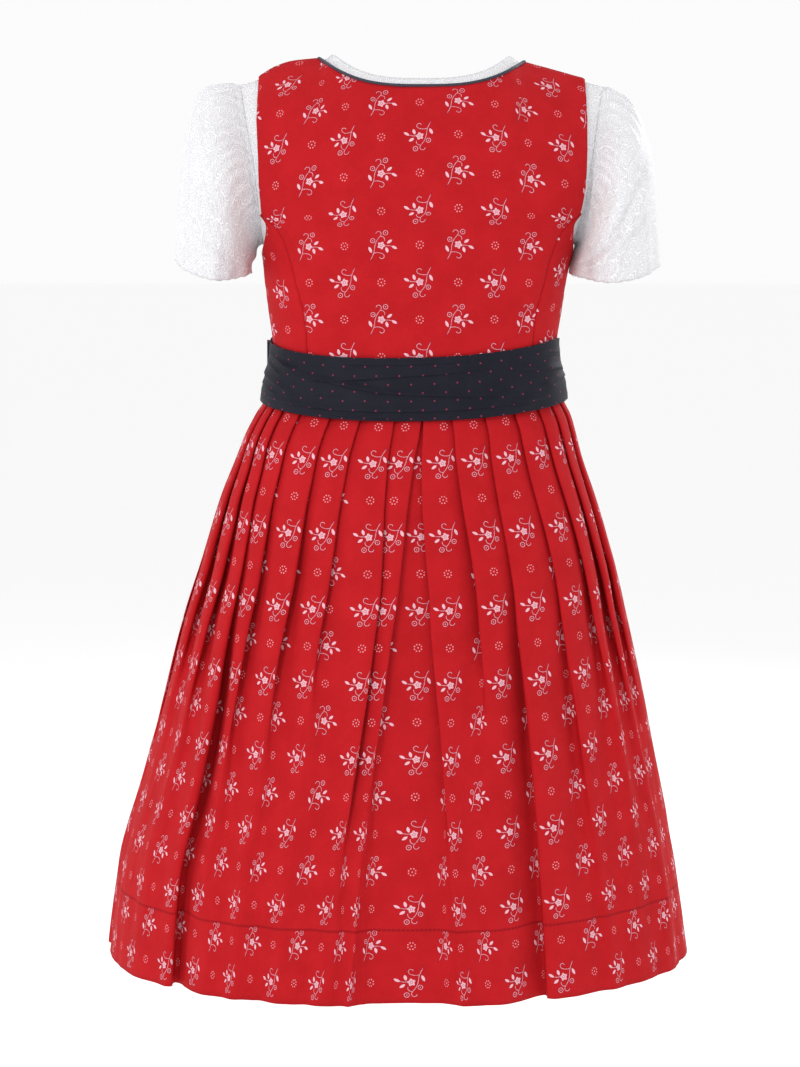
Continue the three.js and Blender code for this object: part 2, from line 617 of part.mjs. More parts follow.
function creaseHeight(angle, share) {
  return SASH_CREASES.reduce((total, crease) => {
    const along = (angle - crease.from) / (crease.to - crease.from);
    if (along < -0.15 || along > 1.15) return total;
    const middle = mix(crease.fromShare, crease.toShare, along);
    const fade = smoothstep(-0.15, 0.2, along) * (1 - smoothstep(0.8, 1.15, along));
    return total + crease.high * fade * Math.exp(-(((share - middle) / CREASE_WIDTH) ** 2));
  }, 0);
}

function sashPoint(angle, share, raise) {
  const z = mix(sashHeight(SASH_TOP, angle), sashHeight(SASH_BOTTOM, angle), share);
  const seat = formPoint(angle, z);
  const out = formNormal(seat).setZ(0).normalize();
  return seat.addScaledVector(out, lookup(SASH_STAND, 'share', 'off', share) + raise);
}

function addSash() {
  const around = 56;
  const shares = spread(6);
  const angles = spread(around).slice(0, -1).map((share) => share * 360 - 180);
  const outer = shares.map((share) => angles.map((angle) => {
    return sashPoint(angle, share, THICK.sash + creaseHeight(angle, share));
  }));
  const inner = shares.map((share) => angles.map((angle) => sashPoint(angle, share, 0)));
  addPiece('sash', wall(outer, inner, true), COLOUR.navy);
}

// ---------------------------------------------------------------- skirt

const skirtSize = (name, down) => lookup(SKIRT, 'down', name, down);

// Point of the skirt's crest line moved outwards by `raise`, in plan.
function skirtPoint(angle, down, raise) {
  const turn = radians(angle);
  const power = 2 / SKIRT_SQUARE;
  const depth = skirtSize(Math.cos(turn) > 0 ? 'back' : 'front', down);
  const half = skirtSize('half', down);
  const [across, along] = [signedPower(Math.sin(turn), power), signedPower(Math.cos(turn), power)];
  const out = new THREE.Vector3(
    signedPower(across, SKIRT_SQUARE - 1) / half,
    signedPower(along, SKIRT_SQUARE - 1) / depth,
    0,
  ).normalize();
  const waist = waistHeight(angle);
  const z = mix(waist, HEM_Z, down / SKIRT_LENGTH);
  return new THREE.Vector3(skirtSize('centre', down) + half * across, depth * along, z).addScaledVector(out, raise);
}

const millimetresPerDegree = (angle, down) => (
  skirtPoint(angle - 0.5, down, 0).setZ(0).distanceTo(skirtPoint(angle + 0.5, down, 0).setZ(0))
);

function foldAngle(fold, down) {
  const rows = [
    { down: 0, angle: fold.waist },
    { down: MID_DOWN, angle: fold.mid },
    { down: SKIRT_LENGTH, angle: fold.hem },
  ];
  return lookup(rows, 'down', 'angle', down);
}

function foldDepth(fold, down) {
  const rows = [
    { down: 0, deep: TUCK_DEPTH },
    { down: MID_DOWN, deep: fold.midDepth },
    { down: SKIRT_LENGTH, deep: fold.hemDepth },
  ];
  return lookup(rows, 'down', 'deep', down);
}

const SIDE_SEAM_CLEAR = 2; // degrees that the last inner fold stays short of the side seam
const DIP_ROOM = 10; // clear run of cloth before a fold edge, for the dip under it
const OPENING_RUN = 90; // a tuck opens over this far above and below its row's `opens`
const foldOpen = (fold, down) => smoothstep(fold.opens - OPENING_RUN, fold.opens + OPENING_RUN, down);
const tuckDepth = (down) => TUCK_DEPTH + down * 0.016;

// Cloth of one side of a skirt half at one level, from its centre line to the side seam:
// angles from the centre line and depths below the crest line. Each pleat is a face, a
// dip under the next fold edge, an inner fold and the return to that edge.
function pleatLine(folds, centre, down) {
  const edges = folds.map((fold) => foldAngle(fold, down));
  const scale = (angle) => millimetresPerDegree(angle, down);
  const line = [];
  const place = (fold, tucked, open) => {
    const share = foldOpen(fold, down);
    line.push({ angle: mix(tucked[0], open[0], share), raise: mix(tucked[1], open[1], share) });
  };
  // Inner fold of the tuck under an edge: as deep as the cloth allows, short of the dip
  // under the next edge.
  const innerFold = (index, gap) => {
    const here = edges[index];
    const room = index + 1 < edges.length ? edges[index + 1] : FULL - SIDE_SEAM_CLEAR + DIP_ROOM / scale(FULL - 5);
    const wanted = Math.max(4, (CLOTH_PER_PLEAT - gap * scale(here)) / 2);
    return Math.min(here + wanted / scale(here), room - DIP_ROOM / scale(room));
  };
  const deep = tuckDepth(down);
  const first = folds[0];
  const low = foldDepth(first, down);
  const start = edges[0];
  const under = innerFold(0, edges[1] - edges[0]);
  place(first, [centre, -deep], [centre, -low]);
  place(first, [under, -deep], [mix(centre, start, 0.45), -low * 0.92]);
  place(first, [under, -deep / 2], [mix(centre, start, 0.75), -low * 0.6]);
  place(first, [start, -deep / 2], [mix(centre, start, 0.95), -low * 0.18]);
  folds.forEach((fold, index) => {
    const here = edges[index];
    place(fold, [here, 0], [here, 0]);
    const next = folds[index + 1];
    if (!next) {
      const end = FULL - EDGE_TURN;
      place(fold, [mix(here, end, 0.5), 0], [mix(here, end, 0.5), -foldDepth(fold, down) * 0.3]);
      place(fold, [end, 0], [end, -foldDepth(fold, down) * 0.2]);
      return;
    }
    const there = edges[index + 1];
    const unit = 1 / scale(there);
    const depth = foldDepth(next, down);
    const tuck = innerFold(index + 1, there - here);
    place(next, [mix(here, there, 0.42), 0.3], [mix(here, there, 0.32), -depth * 0.14]);
    place(next, [there - 6.5 * unit, 0], [mix(here, there, 0.6), -depth * 0.5]);
    place(next, [there - 1.9 * unit, -deep], [mix(here, there, 0.76), -depth * 0.87]);
    place(next, [tuck, -deep], [mix(here, there, 0.86), -depth]);
    place(next, [tuck, -deep / 2], [mix(here, there, 0.93), -depth * 0.78]);
    place(next, [there, -deep / 2], [mix(here, there, 0.975), -depth * 0.3]);
  });
  return line;
}

// Both faces of a cloth line in plan, `thick` apart, mitred at its folds.
function clothFaces(points, thick) {
  const normals = points.map((point, k) => {
    const before = point.clone().sub(points[Math.max(0, k - 1)]).setZ(0).normalize();
    const after = points[Math.min(points.length - 1, k + 1)].clone().sub(point).setZ(0).normalize();
    const way = before.add(after);
    const bend = Math.max(0.62, way.length() / 2);
    return k === 0 || k === points.length - 1
      ? new THREE.Vector3(-way.y, way.x, 0).normalize()
      : new THREE.Vector3(-way.y, way.x, 0).normalize().divideScalar(bend);
  });
  const face = (raise) => points.map((point, k) => point.clone().addScaledVector(normals[k], raise));
  return [face(thick / 2), face(-thick / 2)];
}

function addSkirtHalf(name, end, leftFolds, rightFolds) {
  const front = end === 'front';
  const rings = SKIRT_LEVELS.map((down) => {
    const centre = (foldAngle(leftFolds[0], down) - foldAngle(rightFolds[0], down)) / 2;
    const left = pleatLine(leftFolds, centre, down);
    const right = pleatLine(rightFolds, -centre, down).map(({ angle, raise }) => ({ angle: -angle, raise }));
    const middle = { angle: centre, raise: (left[0].raise + right[0].raise) / 2 };
    const line = [...right.slice(1).reverse(), middle, ...left.slice(1)];
    const down2 = Math.max(down, SEAM);
    const points = line.map(({ angle, raise }) => skirtPoint(front ? 180 - angle : angle, down2, raise));
    return clothFaces(points, THICK.skirt);
  });
  addPiece(name, wall(rings.map((ring) => ring[0]), rings.map((ring) => ring[1])), COLOUR.red);
}

// ---------------------------------------------------------------- apron and bow

function addApron() {
  const rings = APRON_LEVELS.map((level) => {
    const down = mix(APRON.top, APRON.bottom, level);
    const half = mix(APRON.topSpread, APRON.hemSpread, level);
    const swing = mix(1.1, 2.6, level);
    const points = spread(APRON.columns).map((share) => {
      const wave = 1 - Math.cos(share * APRON.gathers * 2 * Math.PI);
      return skirtPoint(180 + mix(-half, half, share), down, APRON.stand + swing * wave);
    });
    return clothFaces(points, THICK.apron);
  });
  addPiece('apron', wall(rings.map((ring) => ring[0]), rings.map((ring) => ring[1])), COLOUR.navy);
}

// Frame of the bow on the sash's outer face: its seat and the ways along, out and up.
function bowFrame() {
  const seat = sashPoint(BOW.angle, BOW.share, THICK.sash);
  const out = formNormal(formPoint(BOW.angle, seat.z)).setZ(0).normalize();
  const along = new THREE.Vector3(-out.y, out.x, 0);
  return { seat, out, along, up: new THREE.Vector3(0, 0, 1) };
}

function addKnot(frame) {
  const geometry = new THREE.SphereGeometry(0.5, 12, 8);
  const knot = addPiece('bow_knot', geometry, COLOUR.navy);
  knot.scale.set(BOW.knotWide, BOW.knotDeep, BOW.knotHigh);
  knot.rotation.z = Math.atan2(frame.along.y, frame.along.x);
  knot.position.copy(frame.seat).addScaledVector(frame.out, BOW.knotDeep / 2 + BOW.seat);
}

// A loop is a flattened band that widens away from the knot, open above and below.
function addLoop(name, side, frame) {
  const around = 16;
  const shares = [-1, -0.4, 0.4, 1];
  const band = (raise) => shares.map((share) => spread(around).slice(0, -1).map((step) => {
    const turn = step * 2 * Math.PI;
    const far = (1 - Math.cos(turn)) / 2;
    const long = BOW.knotWide / 2 + SEAM + raise * -Math.cos(turn) + LOOP.long * far;
    const middle = mix(BOW.knotDeep / 2 + BOW.seat, LOOP.stand, far);
    const deep = middle + (LOOP.deep / 2 + raise) * Math.sin(turn);
    const high = share * mix(LOOP.nearHalf, LOOP.farHalf, far) - 5 * far;
    return frame.seat.clone()
      .addScaledVector(frame.along, side * long)
      .addScaledVector(frame.out, deep)
      .addScaledVector(frame.up, high);
  }));
  addPiece(name, wall(band(0), band(-THICK.bow), true), COLOUR.navy);
}

// A tail hangs from under the knot over the apron and ends on a slant.
function addTail(name, side, frame) {
  const centre = THREE.MathUtils.radToDeg(Math.atan2(frame.seat.x, frame.seat.y));
  const rows = [0, 0.08, 0.2, 0.4, 0.7, 1].map((level) => {
    const points = spread(6).map((share) => {
      const across = mix(-1, 1, share);
      const slant = TAIL.slant * side * across * level;
      const down = mix(TAIL.from, TAIL.to, level) + slant;
      const half = mix(TAIL.topHalf, TAIL.half, smoothstep(0, 0.3, level));
      const unit = 1 / millimetresPerDegree(centre, down);
      const middle = centre + side * mix(TAIL.topTurn, TAIL.turn, smoothstep(0, 0.3, level));
      return skirtPoint(middle + across * half * unit, down, TAIL.stand + 1.2 * Math.cos(across * 4) * level);
    });
    return clothFaces(points, THICK.bow);
  });
  addPiece(name, wall(rows.map((row) => row[0]), rows.map((row) => row[1])), COLOUR.navy);
}

// ---------------------------------------------------------------- assembly

addCentreBack();
addSideBack('bodice_side_back_left', 1);
addSideBack('bodice_side_back_right', -1);
addFront('bodice_front_left', 1);
addFront('bodice_front_right', -1);
addPiping();
addButtons();
addBlouseBody('blouse_back', 'back');
addBlouseBody('blouse_front', 'front');
SLEEVES.forEach(addSleeve);
addSash();
addSkirtHalf('skirt_back', 'back', BACK_LEFT_FOLDS, BACK_RIGHT_FOLDS);
addSkirtHalf('skirt_front', 'front', FRONT_LEFT_FOLDS, FRONT_RIGHT_FOLDS);
addApron();
const bow = bowFrame();
addKnot(bow);
addLoop('bow_loop_left', 1, bow);
addLoop('bow_loop_right', -1, bow);
addTail('bow_tail_left', -1, bow);
addTail('bow_tail_right', 1, bow);

export default dirndl;
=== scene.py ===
"""Child's dirndl, worn shape with no wearer: cloth, folds, stitching and materials.

Sizes are millimetres in the CAD model's frame until a mesh is made, which is in metres.
The wearer faces -Y and the wearer's left is +X. Angles go round the garment from the
centre back (0) by the left side (90) to the centre front (180).
"""
import math
from functools import partial

import bpy
import numpy as np
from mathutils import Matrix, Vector


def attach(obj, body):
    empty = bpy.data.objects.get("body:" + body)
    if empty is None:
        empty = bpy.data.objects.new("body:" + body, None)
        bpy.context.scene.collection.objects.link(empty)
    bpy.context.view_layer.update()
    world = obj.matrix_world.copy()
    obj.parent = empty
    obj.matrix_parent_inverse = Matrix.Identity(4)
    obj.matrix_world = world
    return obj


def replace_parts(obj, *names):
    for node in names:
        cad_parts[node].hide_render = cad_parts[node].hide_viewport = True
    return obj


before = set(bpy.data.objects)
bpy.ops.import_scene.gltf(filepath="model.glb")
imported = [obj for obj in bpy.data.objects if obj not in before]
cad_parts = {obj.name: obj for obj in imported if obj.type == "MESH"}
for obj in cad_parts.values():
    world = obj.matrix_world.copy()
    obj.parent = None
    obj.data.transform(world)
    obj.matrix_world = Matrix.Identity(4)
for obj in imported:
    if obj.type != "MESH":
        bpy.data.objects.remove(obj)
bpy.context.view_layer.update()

MM = 0.001
PER_M = 1000  # millimetres in a metre

# ---------------------------------------------------------------- driving sizes

SEAM = 0.3  # clear gap between two pieces
LAYER = 2.0  # clear gap between the blouse and the bodice over it
HEM_Z = -726.0
FULL = 90.0  # degrees from the centre line round to the side seam
SHOULDER_ROUND = 45.0
THICK = dict(bodice=1.8, blouse=1.0, sleeve=0.8, sash=2.0, band=1.0, skirt=0.9, apron=0.9, bow=1.1)

# z, centre, half, back, front, square
TORSO = np.array([
    (-310, 0, 116, 80, 84, 2.2), (-262, 0, 116, 80, 84, 2.2), (-222, -0.4, 116.5, 80, 84, 2.3),
    (-190, -0.8, 121, 82.5, 87, 2.35), (-173, -1, 123.3, 84, 88, 2.4), (-150, -2.5, 127.3, 86, 90, 2.5),
    (-130, -4, 134, 87, 90, 2.6), (-105, -6, 142, 87, 89, 2.7), (-75, -6.5, 148, 87, 86, 2.8),
    (-40, -6, 153, 86, 84, 2.8), (30, -6, 157, 84, 82, 2.8)])
# out, left, right
RIDGE = np.array([(0, 24, 24), (55, 20, 20), (72, 15.5, 14.5), (82, 9, 6.5), (105, 6, 0), (119, 1.5, -4),
                  (133, -6, -8), (170, -17, -19)])
# half, back, front, bend
DRESS_NECK = dict(half=82, back=-15, front=-78, bend=3)
BLOUSE_NECK = dict(half=73, back=-7.5, front=-50, bend=3)
PIPING_WIDTH = 3.0
PANEL_UNDER_PIPING = 2.4
DRESS_ARMHOLE = [(-150, 1), (-141, 0.984), (-131, 0.963), (-119, 0.935), (-105, 0.923), (-60, 0.885),
                 (-7, 0.856), (30, 0.84)]
BLOUSE_ARMHOLE = [(-143, 1), (-134, 0.991), (-122, 0.976), (-100, 0.957), (-75, 0.946), (-40, 0.952),
                  (-12, 0.962), (30, 0.965)]
DRESS_UNDERARM_Z = -150.0
BLOUSE_TOP_Z = -12.0
BLOUSE_UNDERARM_Z = -143.0
BLOUSE_HEM_Z = -176.0
BACK_SEAM = [(-300, 91), (-262, 91), (-231, 91), (-201, 93), (-173, 100), (-155, 104.5), (-139, 110.5),
             (-129, 117), (-119, 129)]
SEAM_TOP_Z = -119.0
BACK_SEAM_CENTRE = -4.5
BODICE_LOW_Z = -262.0
BODICE_TOP_Z = -7.0
FRONT_EDGE = 9.0
BUTTON = dict(count=5, top=-94, pitch=26, radius=6, height=3)

SASH_TOP = dict(side=-218, back=14, front=6, turn=12)
SASH_BOTTOM = dict(side=-268, back=13.5, front=6, turn=6)
WAIST_UP = 14.0
SASH_STAND = [(0, 0.9), (0.35, 1.8), (0.6, 4.6), (0.74, 6.4), (1, 8.2)]

# down, centre, half, back, front
SKIRT = np.array([
    (-40, 0, 120, 84, 88), (0, 0, 120.5, 84.5, 88.5), (14, 0, 122, 86.5, 90.5), (27, 1, 129, 92, 96),
    (43, 3, 135.5, 98, 101), (60, 4, 141, 103, 106), (93, 5, 153, 113, 115), (143, 5, 168, 128, 130),
    (192, 7, 181, 141, 143), (259, 8, 197, 158, 160), (325, 10, 213, 173, 175), (392, 13, 229, 186, 188),
    (472, 13, 240, 197, 199)])
SKIRT_LENGTH = 472.0
SKIRT_SQUARE = 2.1
CLOTH_PER_PLEAT = 61.0
LEAD = {1: 45.0, -1: 50.0}  # cloth from the middle to the first fold edge, there and back in the tuck
LAYER_STEP = 1.6  # between the middles of the layers in a tuck
MID_DOWN = 150.0
OPENING_RUN = 90.0
SIDE_SEAM_CLEAR = 2.0

# Fold edges: angle at the waist, middle and hem, where the tuck is half open, and its
# strength in the middle and at the hem.
BACK_LEFT = [
    (-2.4, 2, 7, 150, 8, 3), (7.2, 6.4, 13, 240, 9, 3), (20, 20.4, 21.5, 160, 6, 3),
    (33, 31, 30.5, 110, 6, 4), (49, 43.5, 38.5, 150, 8, 3), (61.6, 51.5, 47, 210, 11, 11),
    (70.5, 62, 60.5, 120, 6, 4), (79.5, 76, 75.5, 110, 6, 3)]
BACK_RIGHT = [
    (2.6, 4.6, 9, 220, 8, 3), (12.9, 17, 18, 130, 6, 2), (26.3, 28, 27.5, 200, 9, 10),
    (39.8, 43, 42.5, 230, 10, 9), (54, 57, 56, 170, 7, 3), (65.4, 68, 68, 140, 6, 3),
    (78, 79, 79, 110, 5, 3)]
FRONT_LEFT = [
    (0.5, 3, 6, 110, 6, 5), (13, 13, 14, 130, 7, 6), (26, 25, 27, 100, 7, 5), (39, 38, 40, 150, 7, 7),
    (52, 51, 53, 210, 9, 15), (65, 64, 66, 160, 7, 4), (78, 77, 79, 180, 8, 9)]
FRONT_RIGHT = [
    (0.5, 3, 5, 130, 7, 5), (13, 14, 16, 110, 7, 5), (26, 26, 28, 150, 7, 6), (39, 39, 41, 110, 6, 4),
    (52, 51, 51, 220, 9, 13), (65, 65, 66, 120, 7, 4), (78, 78, 79, 200, 8, 10)]
FULL_STRENGTH = 9  # a fold this strong is as deep as its cloth allows
STRONG_AT_HEM = 8  # a fold stronger than this stays sharp down to the hem

APRON = dict(top_spread=38, hem_spread=44, top=14.4, bottom=420, stand=1.8, gathers=11, fine_gathers=31)
# A crease is its share down the sleeve, angle round it, slope, height and width.
SLEEVES = [
    dict(name="sleeve_left", side=1, centre=164, half=31, hem_z=-160, tilt=5, spring=50, lift=28,
         creases=[(0.84, 85, 0.05, 1.6, 0.035), (0.66, 60, -0.12, 1.2, 0.05), (0.7, 270, 0.1, 1.4, 0.045)]),
    dict(name="sleeve_right", side=-1, centre=163.5, half=37, hem_z=-162, tilt=3, spring=36, lift=10,
         creases=[(0.74, 80, 0.16, 2.6, 0.035), (0.66, 85, 0.14, -2.0, 0.04),
                  (0.8, 280, -0.1, 1.8, 0.045)])]
SLEEVE = dict(hem_dip=10, depth=52, gathers=34, scallops=13)
BOW = dict(angle=161, share=0.36, wide=26, deep=18, high=34, seat=1)
LOOP = dict(long=66, deep=16, near=10, far=23, stand=16)
TAIL = dict(turn=12.5, top_turn=4.6, top_half=8, half=21, start=-1.4, end=210, stand=8.6, slant=14,
            opens=0.3)

# Columns and rows of the meshes, and cut sizes in metres.
GRID = dict(centre_back=(130, 110), side_back=(44, 60), front=(100, 110), blouse=(120, 60),
            sleeve=(240, 54), sash=(360, 96), apron=(330, 84), knot=(72, 30), loop=(96, 36),
            tail=(34, 60), cord=(12, 60), button=48, skirt_rows=92, skirt_column=2.35)
CUT = dict(centre_back=(0.27, 0.275), side_back=(0.075, 0.14), front=(0.155, 0.275), blouse=(0.34, 0.2),
           sleeve=(0.36, 0.17), sash_high=0.06, apron=(0.33, 0.41), knot_high=0.034, loop_high=0.042,
           tail=(0.042, 0.215))

# ---------------------------------------------------------------- small helpers


def curve(keys, values):
    """Smooth curve through a table's rows that never passes them."""
    xs, ys = np.array(keys, float), np.array(values, float)
    width = np.diff(xs)
    slope = np.diff(ys) / width
    tangent = np.empty_like(ys)
    tangent[0], tangent[-1] = slope[0], slope[-1]
    a, b = slope[:-1], slope[1:]
    both = np.where(a * b > 0, a + b, 1)
    tangent[1:-1] = np.where(a * b > 0, 2 * a * b / both, 0)

    def at(x):
        x = np.clip(x, xs[0], xs[-1])
        i = np.clip(np.searchsorted(xs, x, side="right") - 1, 0, len(width) - 1)
        t = (x - xs[i]) / width[i]
        bump = t * t * (3 - 2 * t)
        rise = ys[i] * (1 - bump) + ys[i + 1] * bump
        return rise + width[i] * (tangent[i] * t * (1 - t) ** 2 - tangent[i + 1] * t * t * (1 - t))
    return at


def rows_curve(rows, column=1):
    table = np.array(rows, float)
    return curve(table[:, 0], table[:, column])


def mix(a, b, t):
    return a + (b - a) * t


def signed_power(v, p):
    return np.sign(v) * np.abs(v) ** p


def smoothstep(low, high, x):
    t = np.clip((x - low) / (high - low), 0, 1)
    return t * t * (3 - 2 * t)


def unit(v):
    return v / np.maximum(1e-9, np.linalg.norm(v, axis=-1, keepdims=True))


NOISE_CELLS, NOISE_START = 64, 20  # random numbers each way, and the one at the origin


def noise(u, v, size_u, size_v, seed):
    """Smooth value noise from -1 to 1 over cloth coordinates."""
    grid = np.random.default_rng(seed).uniform(-1, 1, (NOISE_CELLS, NOISE_CELLS))
    x = np.asarray(u, float) / size_u + NOISE_START
    y = np.asarray(v, float) / size_v + NOISE_START
    i, j = np.floor(x).astype(int), np.floor(y).astype(int)
    fx, fy = x - i, y - j
    fx, fy = fx * fx * (3 - 2 * fx), fy * fy * (3 - 2 * fy)

    def at(a, b):
        return grid[a % NOISE_CELLS, b % NOISE_CELLS]
    return mix(mix(at(i, j), at(i + 1, j), fx), mix(at(i, j + 1), at(i + 1, j + 1), fx), fy)


# ---------------------------------------------------------------- torso form

centre, half, back, front, square = (curve(TORSO[:, 0], TORSO[:, k]) for k in range(1, 6))
ridge_left, ridge_right = curve(RIDGE[:, 0], RIDGE[:, 1]), curve(RIDGE[:, 0], RIDGE[:, 2])


def ridge(out):
    return np.where(out > 0, ridge_left(np.abs(out)), ridge_right(np.abs(out)))


def rounding(x, z):
    return 1 - np.exp(-np.maximum(0, ridge(x - centre(z)) - z) / SHOULDER_ROUND)


def form_point(angle, z):
    turn = np.radians(angle)
    z = z + 0 * turn
    turn = turn + 0 * z
    power = 2 / square(z)
    x = centre(z) + half(z) * signed_power(np.sin(turn), power)
    depth = np.where(np.cos(turn) > 0, back(z), front(z))
    return np.stack([x, depth * rounding(x, z) * signed_power(np.cos(turn), power), z], -1)


def form_normal(p):
    x, y, z = p[..., 0], p[..., 1], p[..., 2]
    side = np.where(y < 0, -1, 1)
    below = ridge(x - centre(z)) - 1
    height = np.minimum(z, below)

    def depth_at(x, h):
        return np.where(side > 0, back(h), front(h)) * np.maximum(0.001, rounding(x, h))

    def level(x, y, h):
        return np.abs((x - centre(h)) / half(h)) ** square(h) + np.abs(y / depth_at(x, h)) ** square(h)

    out = np.minimum(1, np.abs(x - centre(height)) / half(height))
    settled = side * depth_at(x, height) * (1 - out ** square(height)) ** (1 / square(height))
    y = np.where(z > below, settled, y)
    e = 0.2
    return unit(np.stack([
        level(x + e, y, height) - level(x - e, y, height),
        level(x, y + e, height) - level(x, y - e, height),
        level(x, y, height + e) - level(x, y, height - e)], -1))


def angle_of_share(share, z):
    return np.degrees(np.arcsin(np.clip(share, 0, 1) ** (square(z) / 2)))


def angle_of_out(out, z):
    return np.sign(out) * angle_of_share(np.abs(out) / half(z), z)


def inset(p, depth):
    side = np.where(p[..., 1] < 0, -1, 1)
    moved = p - form_normal(p) * np.asarray(depth)[..., None]
    moved[..., 1] = side * np.maximum(SEAM / 2, side * moved[..., 1])
    return moved


def neck_height(neck, end, out, lower=0):
    reach = neck["half"] + lower
    share = np.minimum(1, np.abs(out) / reach)
    top = ridge(np.where(out < 0, -reach, reach))
    return neck[end] - lower + (top - neck[end] + lower) * share ** neck["bend"]


def top_height(neck, end, out, lower):
    over = np.where(np.abs(out) < neck["half"] + lower, neck_height(neck, end, out, lower), ridge(out))
    return over - SEAM / 2


armhole_dress, armhole_blouse = rows_curve(DRESS_ARMHOLE), rows_curve(BLOUSE_ARMHOLE)
back_seam_out = rows_curve(BACK_SEAM)


def dress_reach(z):
    return angle_of_share(np.where(z <= DRESS_UNDERARM_Z, 1, armhole_dress(z)), z)


def blouse_reach(z):
    return angle_of_share(np.where(z <= BLOUSE_UNDERARM_Z, 1, armhole_blouse(z)), z)


def back_seam(side, z):
    out = side * back_seam_out(z) + BACK_SEAM_CENTRE - centre(z)
    seam = np.minimum(np.abs(angle_of_out(out, z)), dress_reach(z))
    return side * np.where(z > SEAM_TOP_Z, dress_reach(z), seam)


def sash_height(edge, angle):
    turned = np.cos(np.radians(angle - edge["turn"]))
    return (edge["side"] - edge["back"] * np.maximum(0, turned) ** 1.3
            - edge["front"] * np.maximum(0, -turned) ** 1.3)


def waist_height(angle):
    return sash_height(SASH_BOTTOM, angle) + WAIST_UP


def angle_around(p):
    return np.degrees(np.arctan2(p[..., 0] - centre(p[..., 2]), p[..., 1]))


# ---------------------------------------------------------------- meshes

materials = {}


def run_lengths(points, axis):
    """Distance along the rows or columns of a grid of points from its first one."""
    step = np.linalg.norm(np.diff(points, axis=axis), axis=-1)
    start = np.zeros_like(np.take(step, [0], axis=axis))
    return np.concatenate([start, np.cumsum(step, axis=axis)], axis=axis)


def closed(rows):
    """The rows of a ring with their first point again at the end."""
    return np.concatenate([rows, rows[:, :1]], 1)


def quads(index, flip):
    corners = np.stack([index[:-1, :-1], index[1:, :-1], index[1:, 1:], index[:-1, 1:]], -1)
    return corners.reshape(-1, 4)[:, ::-1 if flip else 1]


def cloth(name, points, uv, material, thick=0.0, ring=False, flip=False, offset=-1.0):
    """A grid of points, rows by columns, as one sheet of cloth with a thickness. A ring's
    uv has one column more than its points."""
    index = np.arange(points[..., 0].size).reshape(points.shape[:2])
    corner = np.arange(uv[..., 0].size).reshape(uv.shape[:2])
    mesh = bpy.data.meshes.new(name)
    mesh.from_pydata((points.reshape(-1, 3) * MM).tolist(), [],
                     quads(closed(index) if ring else index, flip).tolist())
    flat = uv.reshape(-1, 2)[quads(corner, flip).reshape(-1)] * MM
    mesh.uv_layers.new(name="cloth").data.foreach_set("uv", flat.reshape(-1).astype(np.float32))
    mesh.shade_smooth()
    mesh.materials.append(materials[material])
    obj = bpy.data.objects.new(name, mesh)
    bpy.context.scene.collection.objects.link(obj)
    if thick:
        solid = obj.modifiers.new("thickness", "SOLIDIFY")
        solid.thickness = thick * MM
        solid.offset = offset
        solid.use_even_offset = False
    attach(obj, "root")
    return obj


def soft(obj, node, area=None):
    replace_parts(obj, node)


def area_of(points):
    a, b = points[1:, 1:] - points[:-1, :-1], points[1:, :-1] - points[:-1, 1:]
    return np.linalg.norm(np.cross(a, b), axis=-1).sum() / 2 * MM * MM


def sheet_uv(across, up):
    """Cloth coordinates in millimetres from distances across and up."""
    return np.stack(np.broadcast_arrays(across, up), -1)


def grid_uv(points, along_zero=0.0, turn=1.0):
    """Cloth coordinates of a grid: distance across from its zero column, height up."""
    return sheet_uv(-turn * (run_lengths(points, 1) - along_zero), run_lengths(points, 0) + points[:1, :, 2])


# ---------------------------------------------------------------- shader nodes


class Value:
    """A shader socket that adds, multiplies and so on as numbers do."""

    def __init__(self, tree, socket):
        self.tree, self.socket = tree, socket

    def __add__(self, other):
        return math_node("ADD", self, other)

    def __sub__(self, other):
        return math_node("SUBTRACT", self, other)

    def __rsub__(self, other):
        return math_node("SUBTRACT", other, self)

    def __mul__(self, other):
        return math_node("MULTIPLY", self, other)

    def __neg__(self):
        return math_node("MULTIPLY", self, -1)


def plug(tree, value, socket):
    """Links a socket or Value to an input, or sets a plain number or colour there."""
    value = getattr(value, "socket", value)
    if isinstance(value, bpy.types.NodeSocket):
        tree.links.new(value, socket)
    else:
        socket.default_value = value


def add_node(tree, kind, inputs, **settings):
    """A shader node with its settings, and its inputs by name or number."""
    node = tree.nodes.new("ShaderNode" + kind)
    for key, value in settings.items():
        setattr(node, key, value)
    for key, value in inputs.items():
        plug(tree, value, node.inputs[key])
    return node


def math_node(operation, *inputs):
    tree = next(v.tree for v in inputs if isinstance(v, Value))
    return Value(tree, add_node(tree, "Math", dict(enumerate(inputs)), operation=operation).outputs[0])


fabs, sine, cosine, root, turn_of = (partial(math_node, name) for name in (
    "ABSOLUTE", "SINE", "COSINE", "SQRT", "ARCTAN2"))
low, high, over = (partial(math_node, name) for name in ("MINIMUM", "MAXIMUM", "GREATER_THAN"))


def wrap(a, size):
    """Distance from the nearest multiple of a size."""
    return math_node("WRAP", a, size / 2, -size / 2)


def length2(x, y):
    return root(x * x + y * y)


def ramp(a, start, stop):
    """0 at start and 1 at stop, smooth in between."""
    falling = start > stop
    ends = {"Value": a, "From Min": min(start, stop), "From Max": max(start, stop),
            "To Min": float(falling), "To Max": float(not falling)}
    return Value(a.tree, add_node(a.tree, "MapRange", ends, interpolation_type="SMOOTHSTEP").outputs[0])


MIX_A, MIX_B, MIX_RESULT = 6, 7, 2  # the Mix node's colour sockets


def blend(share, a, b):
    """A colour between a and b, each a socket or a plain colour."""
    a, b = ((*v, 1.0) if isinstance(v, tuple) else v for v in (a, b))
    node = add_node(share.tree, "Mix", {0: share, MIX_A: a, MIX_B: b}, data_type="RGBA")
    return node.outputs[MIX_RESULT]


